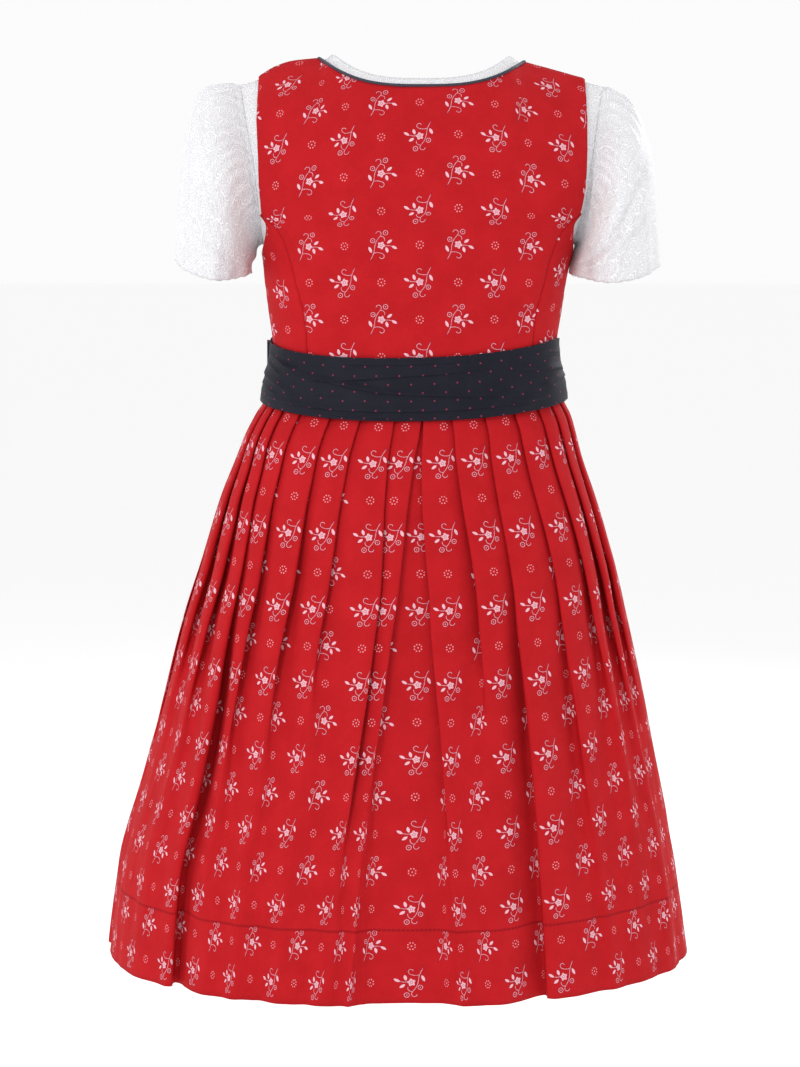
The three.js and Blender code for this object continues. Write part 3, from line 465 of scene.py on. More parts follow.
class Cloth:
    """A cloth material in the making: its node tree, shader and cloth coordinates."""

    def __init__(self, name, rough, specular, sheen=0.0, sheen_rough=0.5, tint=(1, 1, 1)):
        material = materials[name] = bpy.data.materials.new(name)
        material.use_nodes = True
        self.tree = material.node_tree
        self.shader = self.tree.nodes["Principled BSDF"]
        for key, value in (("Roughness", rough), ("Specular IOR Level", specular), ("Sheen Weight", sheen),
                           ("Sheen Roughness", sheen_rough), ("Sheen Tint", (*tint, 1))):
            self.shader.inputs[key].default_value = value
        self.uv = add_node(self.tree, "UVMap", {}, uv_map="cloth").outputs[0]
        self.u, self.v = (axis * PER_M for axis in self.split(self.uv)[:2])

    def split(self, vector):
        return [Value(self.tree, s) for s in add_node(self.tree, "SeparateXYZ", {0: vector}).outputs]

    def noise(self, scale, detail=2.0, rough=0.6):
        """Noise over the cloth with features about `scale` millimetres wide."""
        at = add_node(self.tree, "VectorMath", {0: self.uv, 1: (PER_M / scale, PER_M / scale, 1)},
                      operation="MULTIPLY")
        node = add_node(self.tree, "TexNoise", {"Vector": at.outputs[0], "Scale": 1.0, "Detail": detail,
                                                "Roughness": rough})
        return Value(self.tree, node.outputs[0])

    def weave(self, pitch):
        """Plain weave: one thread over and one under, `pitch` millimetres apart."""
        return sine(self.u * (math.pi / pitch)) * sine(self.v * (math.pi / pitch)) * 0.5 + 0.5

    def finish(self, colour, height, distance, strength):
        """Links the colour, and relief of `distance` millimetres for a height from 0 to 1."""
        bump = add_node(self.tree, "Bump", {"Strength": strength, "Distance": distance * MM,
                                            "Height": height})
        plug(self.tree, colour, self.shader.inputs["Base Color"])
        plug(self.tree, bump.outputs[0], self.shader.inputs["Normal"])


# ---------------------------------------------------------------- the print

# The print's rows on the skirt start a little above the waist seam and run slightly closer.
PRINT_DOWN = (2.9, 1.024)
PRINT = (61.0, 59.5)  # repeat across and up
PRINT_ZERO = -52.8  # height of the middle of a turned sprig, on the centre back line
SPRIG_REACH, RING_REACH = 15.1, 8.0
PETALS = dict(count=5, radius=2.75, wave=0.55, turn=0.6)
# A leaf is its middle, angle, length and width; a berry its middle and radius; a stem
# three points of its arc.
LEAVES = [((6.6, 3.0), 35, 5.0, 2.3), ((10.4, -1.8), -28, 5.2, 2.2), ((4.5, -3.8), -74, 4.8, 2.5),
          ((-8.9, -3.4), -65, 5.7, 2.4)]
BERRIES = [((-6.8, 4.0), 1.75), ((3.4, 10.3), 1.85)]
BERRY_LINE, BERRY_EYE, STEM_WIDE = 0.3, 0.5, 0.55
STEMS = [
    ((-8.6, -11.2), (-6.5, -7.2), (-5.4, -2.6)), ((-5.4, -2.6), (-4.0, 3.0), (-0.9, 7.4)),
    ((-0.9, 7.4), (1.9, 6.6), (2.6, 3.7)), ((-0.9, 7.8), (-1.3, 11.4), (-4.3, 9.7)),
    ((-6.1, -6.2), (-1.6, -5.9), (1.6, -7.2)), ((1.6, -7.2), (1.2, -10.5), (-1.4, -9.4)),
    ((2.8, -0.6), (5.6, -0.3), (8.2, -0.9))]
RING_OF_DOTS = dict(count=8, radius=2.8, dot=0.55, middle=0.6)


def leaf(x, y, at, angle, long, wide):
    """Pointed leaf: distance outside it, as two circles that cross."""
    c, s = math.cos(math.radians(angle)), math.sin(math.radians(angle))
    dx, dy = x - at[0], y - at[1]
    along, across = dx * c + dy * s, dy * c - dx * s
    a, b = long / 2, wide / 2
    away = (a * a - b * b) / (2 * b)
    return length2(along, fabs(across) + away) - (away + b)


def arc(x, y, at, radius, start, sweep, wide):
    """Part of a ring, from the angle `start` anticlockwise through `sweep` degrees."""
    middle = math.radians(start + sweep / 2)
    dx, dy = x - at[0], y - at[1]
    ring = fabs(length2(dx, dy) - radius) - wide / 2
    reach = radius * math.cos(math.radians(sweep / 2))
    return high(ring, reach - (dx * math.cos(middle) + dy * math.sin(middle)))


def through(x, y, a, b, c, wide):
    """Stroke along the arc that starts at a, passes b and stops at c."""
    (ax, ay), (bx, by), (cx, cy) = a, b, c
    twice = 2 * (ax * (by - cy) + bx * (cy - ay) + cx * (ay - by))
    aa, bb, cc = ax * ax + ay * ay, bx * bx + by * by, cx * cx + cy * cy
    at = ((aa * (by - cy) + bb * (cy - ay) + cc * (ay - by)) / twice,
          (aa * (cx - bx) + bb * (ax - cx) + cc * (bx - ax)) / twice)
    first, mid, last = (math.degrees(math.atan2(py - at[1], px - at[0])) for px, py in (a, b, c))
    sweep = (last - first) % 360
    if (mid - first) % 360 > sweep:
        first, sweep = last, 360 - sweep
    return arc(x, y, at, math.dist(at, a), first, sweep, wide)


def dot(x, y, at, radius):
    return length2(x - at[0], y - at[1]) - radius


def nearest(reach, ax, ay, bx, by):
    """The place from the second centre where that is within reach, else from the first."""
    near = over(reach, high(fabs(bx), fabs(by)))
    return ax + (bx - ax) * near, ay + (by - ay) * near


def lowest(shapes):
    found = shapes[0]
    for shape in shapes[1:]:
        found = low(found, shape)
    return found


def print_masks(c):
    """Masks of the printed sprigs: all pale parts, the filled ones and the thin dark lines."""
    wide, tall = PRINT
    u, v = c.u, c.v - PRINT_ZERO
    on_u, off_u = wrap(u, wide), wrap(u + wide / 2, wide)
    on_v, off_v = wrap(v, tall), wrap(v + tall / 2, tall)
    # Every other sprig is turned half round.
    x, y = nearest(SPRIG_REACH, off_u, off_v, -on_u, -on_v)
    angle, away = turn_of(y, x), length2(x, y)
    petals = away - (cosine(angle * PETALS["count"] + PETALS["turn"]) * PETALS["wave"] + PETALS["radius"])
    full = lowest([petals] + [leaf(x, y, *shape) for shape in LEAVES])
    line = lowest([part for at, radius in BERRIES
                   for part in (fabs(dot(x, y, at, radius)) - BERRY_LINE, dot(x, y, at, BERRY_EYE))]
                  + [through(x, y, *stem, STEM_WIDE) for stem in STEMS])
    # The small ring of eight dots halfway between the sprigs.
    qx, qy = nearest(RING_REACH, off_u, on_v, on_u, off_v)
    step = 2 * math.pi / RING_OF_DOTS["count"]
    share = math_node("FRACT", turn_of(qy, qx) * (1 / step)) - 0.5
    r, radius = length2(qx, qy), RING_OF_DOTS["radius"]
    beside = root(r * r + radius ** 2 - r * cosine(share * step) * (2 * radius))
    dots = low(beside - RING_OF_DOTS["dot"], r - RING_OF_DOTS["middle"])
    pale = low(low(full, line), dots)
    # Dark lines: round each petal, leaf and stem, the flower's eye and the leaves' veins.
    edge = fabs(low(full, line) - 0.2) - 0.17
    core = fabs(away - 0.95) - 0.24
    petal_lines = high(fabs(sine(angle * 2.5 + 0.3)) * away - 0.3, high(petals + 0.1, away * -1 + 1.1))
    return (ramp(pale, 0.1, -0.1), ramp(full, 0.05, -0.25),
            ramp(low(edge, low(core, petal_lines)), 0.12, -0.1))


# ---------------------------------------------------------------- materials

# Each tone runs between two colours; the others are single threads, lines and dots.
RED, RED_THREAD = ((0.405, 0.0065, 0.0098), (0.450, 0.0085, 0.0125)), (0.58, 0.03, 0.04)
PINK, STROKE = ((0.74, 0.36, 0.42), (0.82, 0.50, 0.55)), ((0.70, 0.16, 0.20), (0.80, 0.42, 0.45))
DARK_LINE, STITCH = (0.16, 0.006, 0.035), (0.24, 0.004, 0.008)
NAVY, NAVY_THREAD = ((0.0048, 0.0048, 0.0118), (0.0072, 0.0072, 0.0155)), (0.024, 0.025, 0.042)
RED_DOT, CORD_NAVY = (0.30, 0.026, 0.055), ((0.012, 0.013, 0.026), (0.034, 0.035, 0.055))
NET = (0.70, 0.70, 0.725), (0.785, 0.785, 0.805)
# The middle colour on the next line is painted shade, laid on the net beside the raised cords.
NET_CLOUD, NET_PAINTED_SHADE, LACE_CORD = (0.80, 0.80, 0.82), (0.50, 0.50, 0.55), (0.88, 0.88, 0.89)
METAL = (0.34, 0.33, 0.31), (0.66, 0.65, 0.61)
FLOOR = (0.965, 0.965, 0.965), (0.975, 0.975, 0.975)
HEM = dict(up=58, thread=1.6, stitch=3.4)  # the hem's seam: height above the edge, width, stitch length
DOTS = dict(across=9.2, up=7.5, radius=0.9, core=0.45)


def make_red_print(name, hem_line=False):
    c = Cloth(name, rough=0.8, specular=0.1)
    pale, filled, dark = print_masks(c)
    mottle, fine = c.noise(26, 3), c.noise(1.1)
    red = blend(ramp(mottle, 0.3, 0.7), *RED)
    red = blend(ramp(fine, 0.3, 0.8) * 0.12, red, RED_THREAD)
    tone = blend(pale * 0.9, red, blend(ramp(fine, 0.3, 0.7), *STROKE))
    tone = blend(filled * 0.96, tone, blend(ramp(fine, 0.25, 0.75), *PINK))
    tone = blend(dark * 0.62, tone, DARK_LINE)
    height = c.weave(0.42) * 0.45 + fine * 0.55
    if hem_line:
        down = c.v + (PRINT_DOWN[0] + PRINT_DOWN[1] * (SKIRT_LENGTH - HEM["up"]))
        near = ramp(fabs(down), HEM["thread"], 0.3)
        dash = over(sine(c.u * (2 * math.pi / HEM["stitch"])), -0.35)
        tone = blend(near * (dash * 0.45 + 0.4), tone, STITCH)
        height = height - near * 0.9
    c.finish(tone, height, 0.22, 0.55)


def make_navy_dotted(name):
    c = Cloth(name, rough=0.62, sheen=0.02, sheen_rough=0.35, tint=(0.75, 0.78, 0.95), specular=0.16)
    du, dv = DOTS["across"], DOTS["up"]
    mark = low(length2(wrap(c.u, du * 2), wrap(c.v, dv * 2)),
               length2(wrap(c.u + du, du * 2), wrap(c.v + dv, dv * 2)))
    fine = c.noise(0.9)
    navy = blend(ramp(c.noise(18, 3), 0.3, 0.7), *NAVY)
    navy = blend(ramp(fine, 0.45, 0.8) * 0.3, navy, NAVY_THREAD)
    c.finish(blend(ramp(mark, DOTS["radius"], DOTS["core"]) * 0.85, navy, RED_DOT),
             c.weave(0.36) * 0.5 + fine * 0.5, 0.16, 0.5)


def make_navy_piping(name):
    c = Cloth(name, rough=0.6, sheen=0.3, sheen_rough=0.35, tint=(0.8, 0.8, 1), specular=0.45)
    fine = c.noise(0.8)
    twill = sine((c.u + c.v) * (2 * math.pi / 0.7)) * 0.5 + 0.5
    c.finish(blend(fine, *CORD_NAVY), twill * 0.6 + fine * 0.4, 0.15, 0.5)


def strewn(c, pitch, shift, randomness=0.55):
    """Place in the nearest cell of an uneven lattice, and a random share of its own."""
    at = add_node(c.tree, "VectorMath", {0: c.uv, 1: (PER_M / pitch, PER_M / pitch, 0),
                                         2: (shift, shift * 0.6, 0)}, operation="MULTIPLY_ADD").outputs[0]
    cells = add_node(c.tree, "TexVoronoi", {}, voronoi_dimensions="2D")
    for key, value in (("Vector", at), ("Scale", 1.0), ("Randomness", randomness)):
        plug(c.tree, value, cells.inputs[key])
    away = add_node(c.tree, "VectorMath", {0: at, 1: cells.outputs["Position"]}, operation="SUBTRACT")
    x, y, _ = c.split(away.outputs[0])
    return x * pitch, y * pitch, c.split(cells.outputs["Color"])[0]


def make_lace(name):
    """White cotton lace: rosettes in rings, strewn unevenly, with swirls on a fine net, and shade painted on
    the net beside the raised cords.
    """
    c = Cloth(name, rough=0.5, sheen=0.1, sheen_rough=0.4, specular=0.4)
    x, y, own = strewn(c, 18.0, 0.3)
    angle, away = turn_of(y, x) + own * 6, length2(x, y)
    size = own * 1.4 + 5.6
    ring = fabs(away - size - cosine(angle * 10) * 0.35) - 0.55
    petals = high(fabs(sine(angle * 3.5)) * away * 0.5 - 0.75,
                  high(away - size * 0.72, size * 0.22 - away))
    eye = fabs(away - 0.95) - 0.35
    swirl = fabs(away - 8.4 - sine(angle * 3 + 0.7) * 1.3) - 0.45
    sx, sy, own_small = strewn(c, 5.6, 0.8)
    small = high(fabs(length2(sx, sy) - 1.5 - own_small * 0.5) - 0.3, 7.0 - away)
    outside = lowest([ring, petals, eye, swirl, small])
    # beside: a thin band just outside each raised cord, where shade is painted on the net.
    cord, beside = ramp(outside, 0.25, -0.3), ramp(fabs(outside - 0.35), 0.4, 0.1)
    net, fine = c.weave(1.15), c.noise(0.7)
    ground = blend(ramp(net, 0.2, 0.8), *NET)
    ground = blend(ramp(c.noise(24, rough=0.5), 0.35, 0.7) * 0.6, ground, NET_CLOUD)
    # Painted shade: darkens the net in that band, where the raised cord would shade it.
    ground = blend(beside * 0.6, ground, NET_PAINTED_SHADE)
    tone = blend(cord * 0.85, ground, LACE_CORD)
    c.finish(blend(fine * 0.08, tone, NET_CLOUD), cord * 0.8 + net * 0.12 + fine * 0.1, 0.55, 0.7)


def make_metal(name):
    c = Cloth(name, rough=0.34, specular=0.5)
    c.shader.inputs["Metallic"].default_value = 1.0
    fine = c.noise(1.6, 3)
    c.finish(blend(ramp(fine, 0.3, 0.75), *METAL), fine, 0.08, 0.5)


def make_floor():
    material = bpy.data.materials.new("floor_pale")
    material.use_nodes = True
    tree = material.node_tree
    shader = tree.nodes["Principled BSDF"]
    shader.inputs["Roughness"].default_value = 0.9
    texture = add_node(tree, "TexNoise", {"Scale": 3.0})
    plug(tree, blend(Value(tree, texture.outputs[0]), *FLOOR), shader.inputs["Base Color"])
    return material


make_red_print("red_print")
make_red_print("red_print_skirt", hem_line=True)
make_navy_dotted("navy_dotted")
make_navy_piping("navy_piping")
make_lace("white_lace")
make_metal("button_metal")

# ---------------------------------------------------------------- bodice

EDGE_TURN = 0.1  # degrees that a panel stops short of its seam
CHEST_Z = -100.0  # above it the front leans back to the shoulder
SETTLE_STEPS, SETTLE_SHARE = 20, 0.7
SEAM_CROWDING = 0.72  # how far the mesh columns crowd towards the seams
# Worn cloth, in millimetres: how deep it rolls into a seam, and how far from it; puckers
# beside the seam; broad and slanting wrinkles.
ROLL, PUCKER, WRINKLE, SLANT_WRINKLE, REST_DEPTH = (0.85, 1.3), (0.28, 7), 0.45, 0.22, 0.35
SIDE_PRINT = (102, 9)  # place of the print on the side back panels, across and up
FRONT_EASE, SLEEVE_EASE = 1.02, 1.05  # cut area over built area


def seam_spread(count):
    """Shares from 0 to 1, closer together near both ends."""
    even = np.linspace(0, 1, count)
    return mix(even, (1 - np.cos(even * np.pi)) / 2, SEAM_CROWDING)


def top_of(at, neck, end, lower, z):
    """Heights where the points at(z) meet the top edge of a panel."""
    for _ in range(SETTLE_STEPS):
        z = mix(z, top_height(neck, end, at(z)[..., 0] - centre(z), lower), SETTLE_SHARE)
    return z


def panel_points(end, neck, lower, reach, bottom_height, low_z, grid, depth=0.0):
    """Grid of a panel that reaches the shoulder line, from its low edge up."""
    columns, rows = grid
    across = seam_spread(columns)

    def at(z):
        angle = mix(*reach(z), across)
        return form_point(angle if end == "back" else 180 - angle, z)

    top = top_of(at, neck, end, lower, np.zeros(columns))
    bottom = bottom_height(at(np.full(columns, low_z)))
    points = np.stack([at(mix(bottom, top, s)) for s in np.linspace(0, 1, rows)])
    return inset(points, depth + (worn(points) if lower else np.zeros(points.shape[:2])))


def worn(points):
    """Depth below the form where cloth rolls into a seam at its sides, and soft wrinkles."""
    run = run_lengths(points, 1)
    from_side = np.minimum(run, run[:, -1:] - run)
    down = points[..., 2]
    seam = ROLL[0] * np.exp(-((from_side / ROLL[1]) ** 2))
    pucker = PUCKER[0] * np.exp(-((from_side / PUCKER[1]) ** 2)) * noise(down, 0 * down, 6, 9, 71)
    wrinkle = (WRINKLE * noise(run, down, 46, 30, 72)
               + SLANT_WRINKLE * noise(run + down * 0.6, down - run * 0.3, 15, 34, 73))
    return REST_DEPTH + seam + pucker + wrinkle * smoothstep(0, 12, from_side)


def bodice_bottom(p):
    return waist_height(angle_around(p)) + SEAM


def centre_across(points, zero_x=-4.0):
    """Distance across each row to the centre line of the form."""
    return np.array([[np.interp(zero_x, *zip(*sorted(zip(row, run))))]
                     for row, run in zip(points[..., 0], run_lengths(points, 1))])


def front_uv(points):
    """Cloth coordinates of a front panel: round the form from its centre, and up its slope."""
    turns = np.linspace(90, 270, 361)
    run = run_lengths(form_point(turns, CHEST_Z)[None], 1)[0]
    z = points[..., 2]
    turned = 180 - angle_of_out(points[..., 0] - centre(z), z)
    across = (np.interp(180, turns, run) - np.interp(turned, turns, run)) * half(z) / half(CHEST_Z)
    chest = np.maximum(1, np.abs(form_point(turned, CHEST_Z)[..., 1]))
    lean = front(CHEST_Z) - np.abs(points[..., 1]) * front(CHEST_Z) / chest
    slope = CHEST_Z + np.hypot(z - CHEST_Z, np.maximum(0, lean) * 0.8)
    return sheet_uv(across, np.where(z > CHEST_Z, slope, z))


def add_bodice():
    neck = DRESS_NECK, PANEL_UNDER_PIPING
    points = panel_points("back", *neck,
                          lambda z: (back_seam(-1, z) + EDGE_TURN, back_seam(1, z) - EDGE_TURN),
                          bodice_bottom, BODICE_LOW_Z, GRID["centre_back"])
    soft(cloth("panel_centre_back", points, grid_uv(points, centre_across(points)), "red_print",
               THICK["bodice"]),
         "bodice_centre_back", area_of(points))
    for name, side in (("left", 1), ("right", -1)):
        add_side_back(name, side)

        def reach(z):
            edge = angle_of_out(np.full_like(z, FRONT_EDGE), z) + side * EDGE_TURN
            return (edge, side * dress_reach(z))[::side]
        points = panel_points("front", *neck, reach, bodice_bottom, BODICE_LOW_Z, GRID["front"])
        soft(cloth(f"panel_front_{name}", points, front_uv(points), "red_print", THICK["bodice"], flip=True),
             f"bodice_front_{name}",
             area_of(points) * FRONT_EASE)


def add_side_back(name, side):
    columns, rows = GRID["side_back"]
    across = seam_spread(columns)

    def seam_point(z, gap):
        return form_point(side * (np.abs(back_seam(side, z)) + gap), z)

    def at(z):
        return form_point(side * mix(np.abs(back_seam(side, z)) + EDGE_TURN, FULL, across), z)
    shoulder = top_of(lambda z: seam_point(z, -EDGE_TURN), DRESS_NECK, "back", PANEL_UNDER_PIPING,
                      np.zeros(1))[0]
    seam_low = bodice_bottom(seam_point(np.array([BODICE_LOW_Z]), 0))[0]
    top = mix(seam_low, shoulder, (SEAM_TOP_Z - BODICE_LOW_Z) / (BODICE_TOP_Z - BODICE_LOW_Z))
    crest = mix(top, DRESS_UNDERARM_Z - SEAM, np.sin(np.radians(across * FULL)))
    low_edge = bodice_bottom(at(np.full(columns, BODICE_LOW_Z)))
    points = np.stack([at(mix(low_edge, crest, s)) for s in np.linspace(0, 1, rows)])
    points = inset(points, worn(points))
    uv = grid_uv(points, turn=side) + side * np.array([-SIDE_PRINT[0], SIDE_PRINT[1]])
    soft(cloth(f"panel_side_back_{name}", points, uv, "red_print", THICK["bodice"], flip=side < 0),
         f"bodice_side_back_{name}", area_of(points))


# Cord round the neck: radius, how much wider it lies than high, and how deep it is sunk.
CORD = dict(radius=1.25, wide=1.15, sunk=0.6)


def add_piping():
    corners, steps = GRID["cord"]
    share = np.sin(np.concatenate([np.linspace(-1, 1, steps + 1), np.linspace(1, -1, steps + 1)[1:-1]])
                   * np.pi / 2)
    is_back = np.arange(len(share)) <= steps
    lower = PIPING_WIDTH / 2
    tip = (np.abs(share) > 0.999)[:, None]

    def edge(end):
        out = share * (DRESS_NECK["half"] + lower)
        z = np.minimum(neck_height(DRESS_NECK, end, out, lower), ridge(out) - CORD["sunk"])
        angle = angle_of_out(out, z)
        p = form_point(angle if end == "back" else 180 - angle, z)
        return np.where(tip, np.stack([centre(z) + out, 0 * out, ridge(out)], -1), p)
    line = np.where(is_back[:, None], edge("back"), edge("front"))
    normal = np.where(tip, np.array([0, 0, 1.0]), form_normal(line))
    line = line - normal * CORD["sunk"]
    for _ in range(2):
        line = (np.roll(line, 1, 0) + 2 * line + np.roll(line, -1, 0)) / 4
    along = unit(np.roll(line, -1, 0) - np.roll(line, 1, 0))
    normal = unit(normal - along * (normal * along).sum(-1, keepdims=True))
    side = np.cross(along, normal)
    turn = np.linspace(0, 2 * np.pi, corners + 1)[:-1, None, None]
    points = (line[None] + CORD["radius"] * (np.cos(turn) * normal[None]
                                             + np.sin(turn) * side[None] * CORD["wide"])).transpose(1, 0, 2)
    points = np.concatenate([points, points[:1]], 0)
    uv = sheet_uv(np.linspace(0, 8, corners + 1), run_lengths(points, 0)[:, :1])
    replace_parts(cloth("neck_cord_piping", points, uv, "navy_piping", ring=True, flip=True), "neck_piping")


def add_blouse():
    for end, turn in (("back", 1), ("front", -1)):
        points = panel_points(end, BLOUSE_NECK, 0,
                              lambda z: (EDGE_TURN - blouse_reach(z), blouse_reach(z) - EDGE_TURN),
                              lambda p: np.full(p.shape[0], BLOUSE_HEM_Z), BLOUSE_HEM_Z, GRID["blouse"],
                              THICK["bodice"] + LAYER)
        uv = grid_uv(points, centre_across(points), turn)
        soft(cloth(f"blouse_{end}_lace", points, uv, "white_lace", THICK["blouse"], flip=end == "front"),
             f"blouse_{end}", area=area_of(points))


# ---------------------------------------------------------------- sleeves

SEAM_ALLOWANCE = dict(turn=1.3, rise=0.55)  # degrees the sleeve runs onto the blouse, and mm above it
APEX_EASE = 9  # mesh columns over which the sleeve rounds off the armhole's point
GATHER_HIGH, PUFF_NOISE, CREASE_GAIN = 1.1, 1.5, 1.35


def armhole_edge(side, z, is_back, on_blouse):
    reach = blouse_reach(z) - (SEAM_ALLOWANCE["turn"] if on_blouse else 0)
    p = form_point(side * reach if is_back else 180 - side * reach, z)
    p[..., 1] = (1 if is_back else -1) * np.abs(p[..., 1])
    seat = p - form_normal(p) * (THICK["bodice"] + LAYER - SEAM_ALLOWANCE["rise"])
    if not on_blouse:
        seat[..., 0] += side * SEAM
    return seat


def armhole_ring(side, angle, on_blouse=False):
    """Points round the armhole, from its top by the back to the underarm and on."""
    z = np.array([BLOUSE_TOP_Z])
    for _ in range(SETTLE_STEPS):
        z = ridge(form_point(side * blouse_reach(z), z)[..., 0] - centre(z)) - SEAM
    angle = np.mod(angle, 360)
    result = np.empty((len(angle), 3))
    drop = np.sin(np.linspace(0, 1, 241) * np.pi / 2) ** 2
    for is_back in (True, False):
        points = armhole_edge(side, mix(z[0], BLOUSE_UNDERARM_Z, drop), is_back, on_blouse)
        length = run_lengths(points[None], 1)[0]
        want = (angle if is_back else 360 - angle) / 180 * length[-1]
        found = np.stack([np.interp(want, length, points[:, k]) for k in range(3)], -1)
        use = (angle <= 180) if is_back else (angle > 180)
        result[use] = found[use]
    return result


def add_sleeve(sleeve):
    """A puff sleeve: curves from the armhole ring to the hem, which leave and arrive as
    the tables say, then gathers, waves and creases along its normals."""
    side = sleeve["side"]
    columns, rows = GRID["sleeve"]
    angle = np.linspace(180, 540, columns, endpoint=False)
    turn = np.radians(angle)
    start = armhole_ring(side, angle)
    up, across = np.cos(turn), np.sin(turn)
    top = (1 + up) / 2
    hem = np.stack([side * (sleeve["centre"] + sleeve["half"] * up), SLEEVE["depth"] * across,
                    sleeve["hem_z"] + sleeve["tilt"] * up - SLEEVE["hem_dip"] * across ** 2], -1)
    out = 4 + (sleeve["spring"] - 4) * top ** 0.9
    leave = np.stack([side * out, (18 + 22 * top) * across, (sleeve["lift"] - 2) * top * top - 2], -1)
    arrive = np.stack([-side * (1 + 4 * top), 9 * across, 10 + 65 * top], -1)
    t = np.linspace(0, 1, rows)[:, None, None] ** 0.9
    eased = np.mean([np.roll(start, k, 0) for k in range(-APEX_EASE, APEX_EASE + 1)], 0)
    a = mix(start[None], eased[None], smoothstep(0, 0.12, t))
    b, c, d = a + leave[None], (hem + arrive)[None], hem[None]
    points = a * (1 - t) ** 3 + 3 * b * t * (1 - t) ** 2 + 3 * c * t * t * (1 - t) + d * t ** 3
    around = np.roll(points, -1, 1) - np.roll(points, 1, 1)
    normal = unit(np.cross(np.gradient(points, axis=0), around)) * side
    share = t[..., 0]
    head = smoothstep(0, 0.04, share) * (1 - smoothstep(0.08, 0.5, share))
    gather = np.sin(np.radians(angle * SLEEVE["gathers"]) + 1.6 * np.sin(np.radians(angle * 5)))
    raise_by = GATHER_HIGH * gather * head * top ** 0.7
    wave = 0.9 * np.cos(np.radians(angle * 7 + 40 * side)) + 0.35 * np.cos(np.radians(angle * 15))
    raise_by = raise_by + smoothstep(0.55, 1, share) * wave
    puff = PUFF_NOISE * noise(angle / 8 + 0 * share, share * 9 + 0 * angle, 4, 2.6, 5 + side)
    raise_by = raise_by + smoothstep(0.03, 0.25, share) * puff
    for at, middle, slope, tall, wide in sleeve["creases"]:
        away = (angle - middle + 180) % 360 - 180
        off = share - at - slope * np.radians(away)
        raise_by = raise_by + CREASE_GAIN * tall * np.exp(-((away / 48) ** 2)) * np.exp(-((off / wide) ** 2))
    points = points + normal * raise_by[..., None]
    scallop = np.abs(np.sin(np.radians(angle * SLEEVE["scallops"]))) * 0.8
    points[..., 2] -= scallop * smoothstep(0.93, 1, share)
    points = np.concatenate([armhole_ring(side, angle, on_blouse=True)[None], points])
    ring = closed(points)
    uv = sheet_uv(-side * run_lengths(ring, 1)[rows // 2], -run_lengths(ring, 0))
    soft(cloth(sleeve["name"] + "_lace", points, uv, "white_lace", THICK["sleeve"], ring=True,
               flip=side > 0, offset=0),
         sleeve["name"], area_of(ring) * SLEEVE_EASE)


# ---------------------------------------------------------------- sash

# Soft creases round the sash: ends as angle and share of its width, height and width.
SASH_CREASES = [
    (66, 0.24, 10, 0.56, 2.0, 0.055), (12, 0.56, -36, 0.7, 1.6, 0.05), (44, 0.44, 4, 0.3, 1.3, 0.05),
    (4, 0.3, -26, 0.24, 1.2, 0.05), (84, 0.84, 30, 0.86, 1.5, 0.05), (30, 0.86, -58, 0.84, 1.4, 0.05),
    (90, 0.5, 58, 0.64, 1.8, 0.06), (-40, 0.34, -84, 0.5, 1.5, 0.06), (-96, 0.3, -150, 0.55, 1.6, 0.06),
    (100, 0.7, 150, 0.4, 1.6, 0.06), (-100, 0.75, -170, 0.8, 1.3, 0.06), (104, 0.3, 146, 0.24, 1.2, 0.05),
    (30, 0.95, 4, 0.96, 1.0, 0.03), (82, 0.14, 54, 0.3, 1.4, 0.035), (86, 0.3, 64, 0.44, 1.3, 0.035),
    (88, 0.68, 66, 0.76, 1.2, 0.035), (-56, 0.66, -88, 0.6, 1.1, 0.045), (-52, 0.16, -80, 0.24, 1.1, 0.045),
    (24, 0.12, -20, 0.1, 0.9, 0.045)]
CREASE_ABOVE, CREASE_BELOW = 1.5, 0.16  # widths over which a crease rises and drops
SASH_EDGE_IN = 1.0  # how much closer the top edge lies than the middle
SASH_CRINKLE, SASH_WAVE_HIGH = (9, 5, 3), 0.35  # noise across, down and seed, and its height


def crease_height(angle, share):
    total = 0 * angle * share
    for start, start_share, stop, stop_share, tall, wide in SASH_CREASES:
        along = (angle - start) / (stop - start)
        fade = smoothstep(-0.15, 0.2, along) * (1 - smoothstep(0.8, 1.15, along))
        off = (share - mix(start_share, stop_share, along)) / wide
        total = total + tall * fade * np.exp(-((off / np.where(off > 0, CREASE_BELOW, CREASE_ABOVE)) ** 2))
    return total


stand_off = rows_curve(SASH_STAND)


def sash_point(angle, share, raise_by):
    z = mix(sash_height(SASH_TOP, angle), sash_height(SASH_BOTTOM, angle), share)
    seat = form_point(angle, z)
    out = form_normal(seat)
    out[..., 2] = 0
    return seat + unit(out) * (stand_off(share) + raise_by)[..., None]


def add_sash():
    columns, rows = GRID["sash"]
    angle, share = np.meshgrid(np.linspace(-180, 180, columns, endpoint=False), np.linspace(0, 1, rows))
    lift = (THICK["sash"] - SASH_EDGE_IN * (1 - smoothstep(0, 0.5, share)) + crease_height(angle, share)
            + SASH_WAVE_HIGH * noise(angle, share * 50, *SASH_CRINKLE))
    ring = closed(sash_point(angle, share, lift))
    around = run_lengths(ring, 1)[rows // 2]
    soft(cloth("sash_band", ring[:, :-1], sheet_uv(-around, -run_lengths(ring, 0)), "navy_dotted",
               THICK["band"], ring=True, flip=True),
         "sash")


# ---------------------------------------------------------------- skirt

skirt_centre, skirt_half, skirt_back, skirt_front = (curve(SKIRT[:, 0], SKIRT[:, k]) for k in range(1, 5))


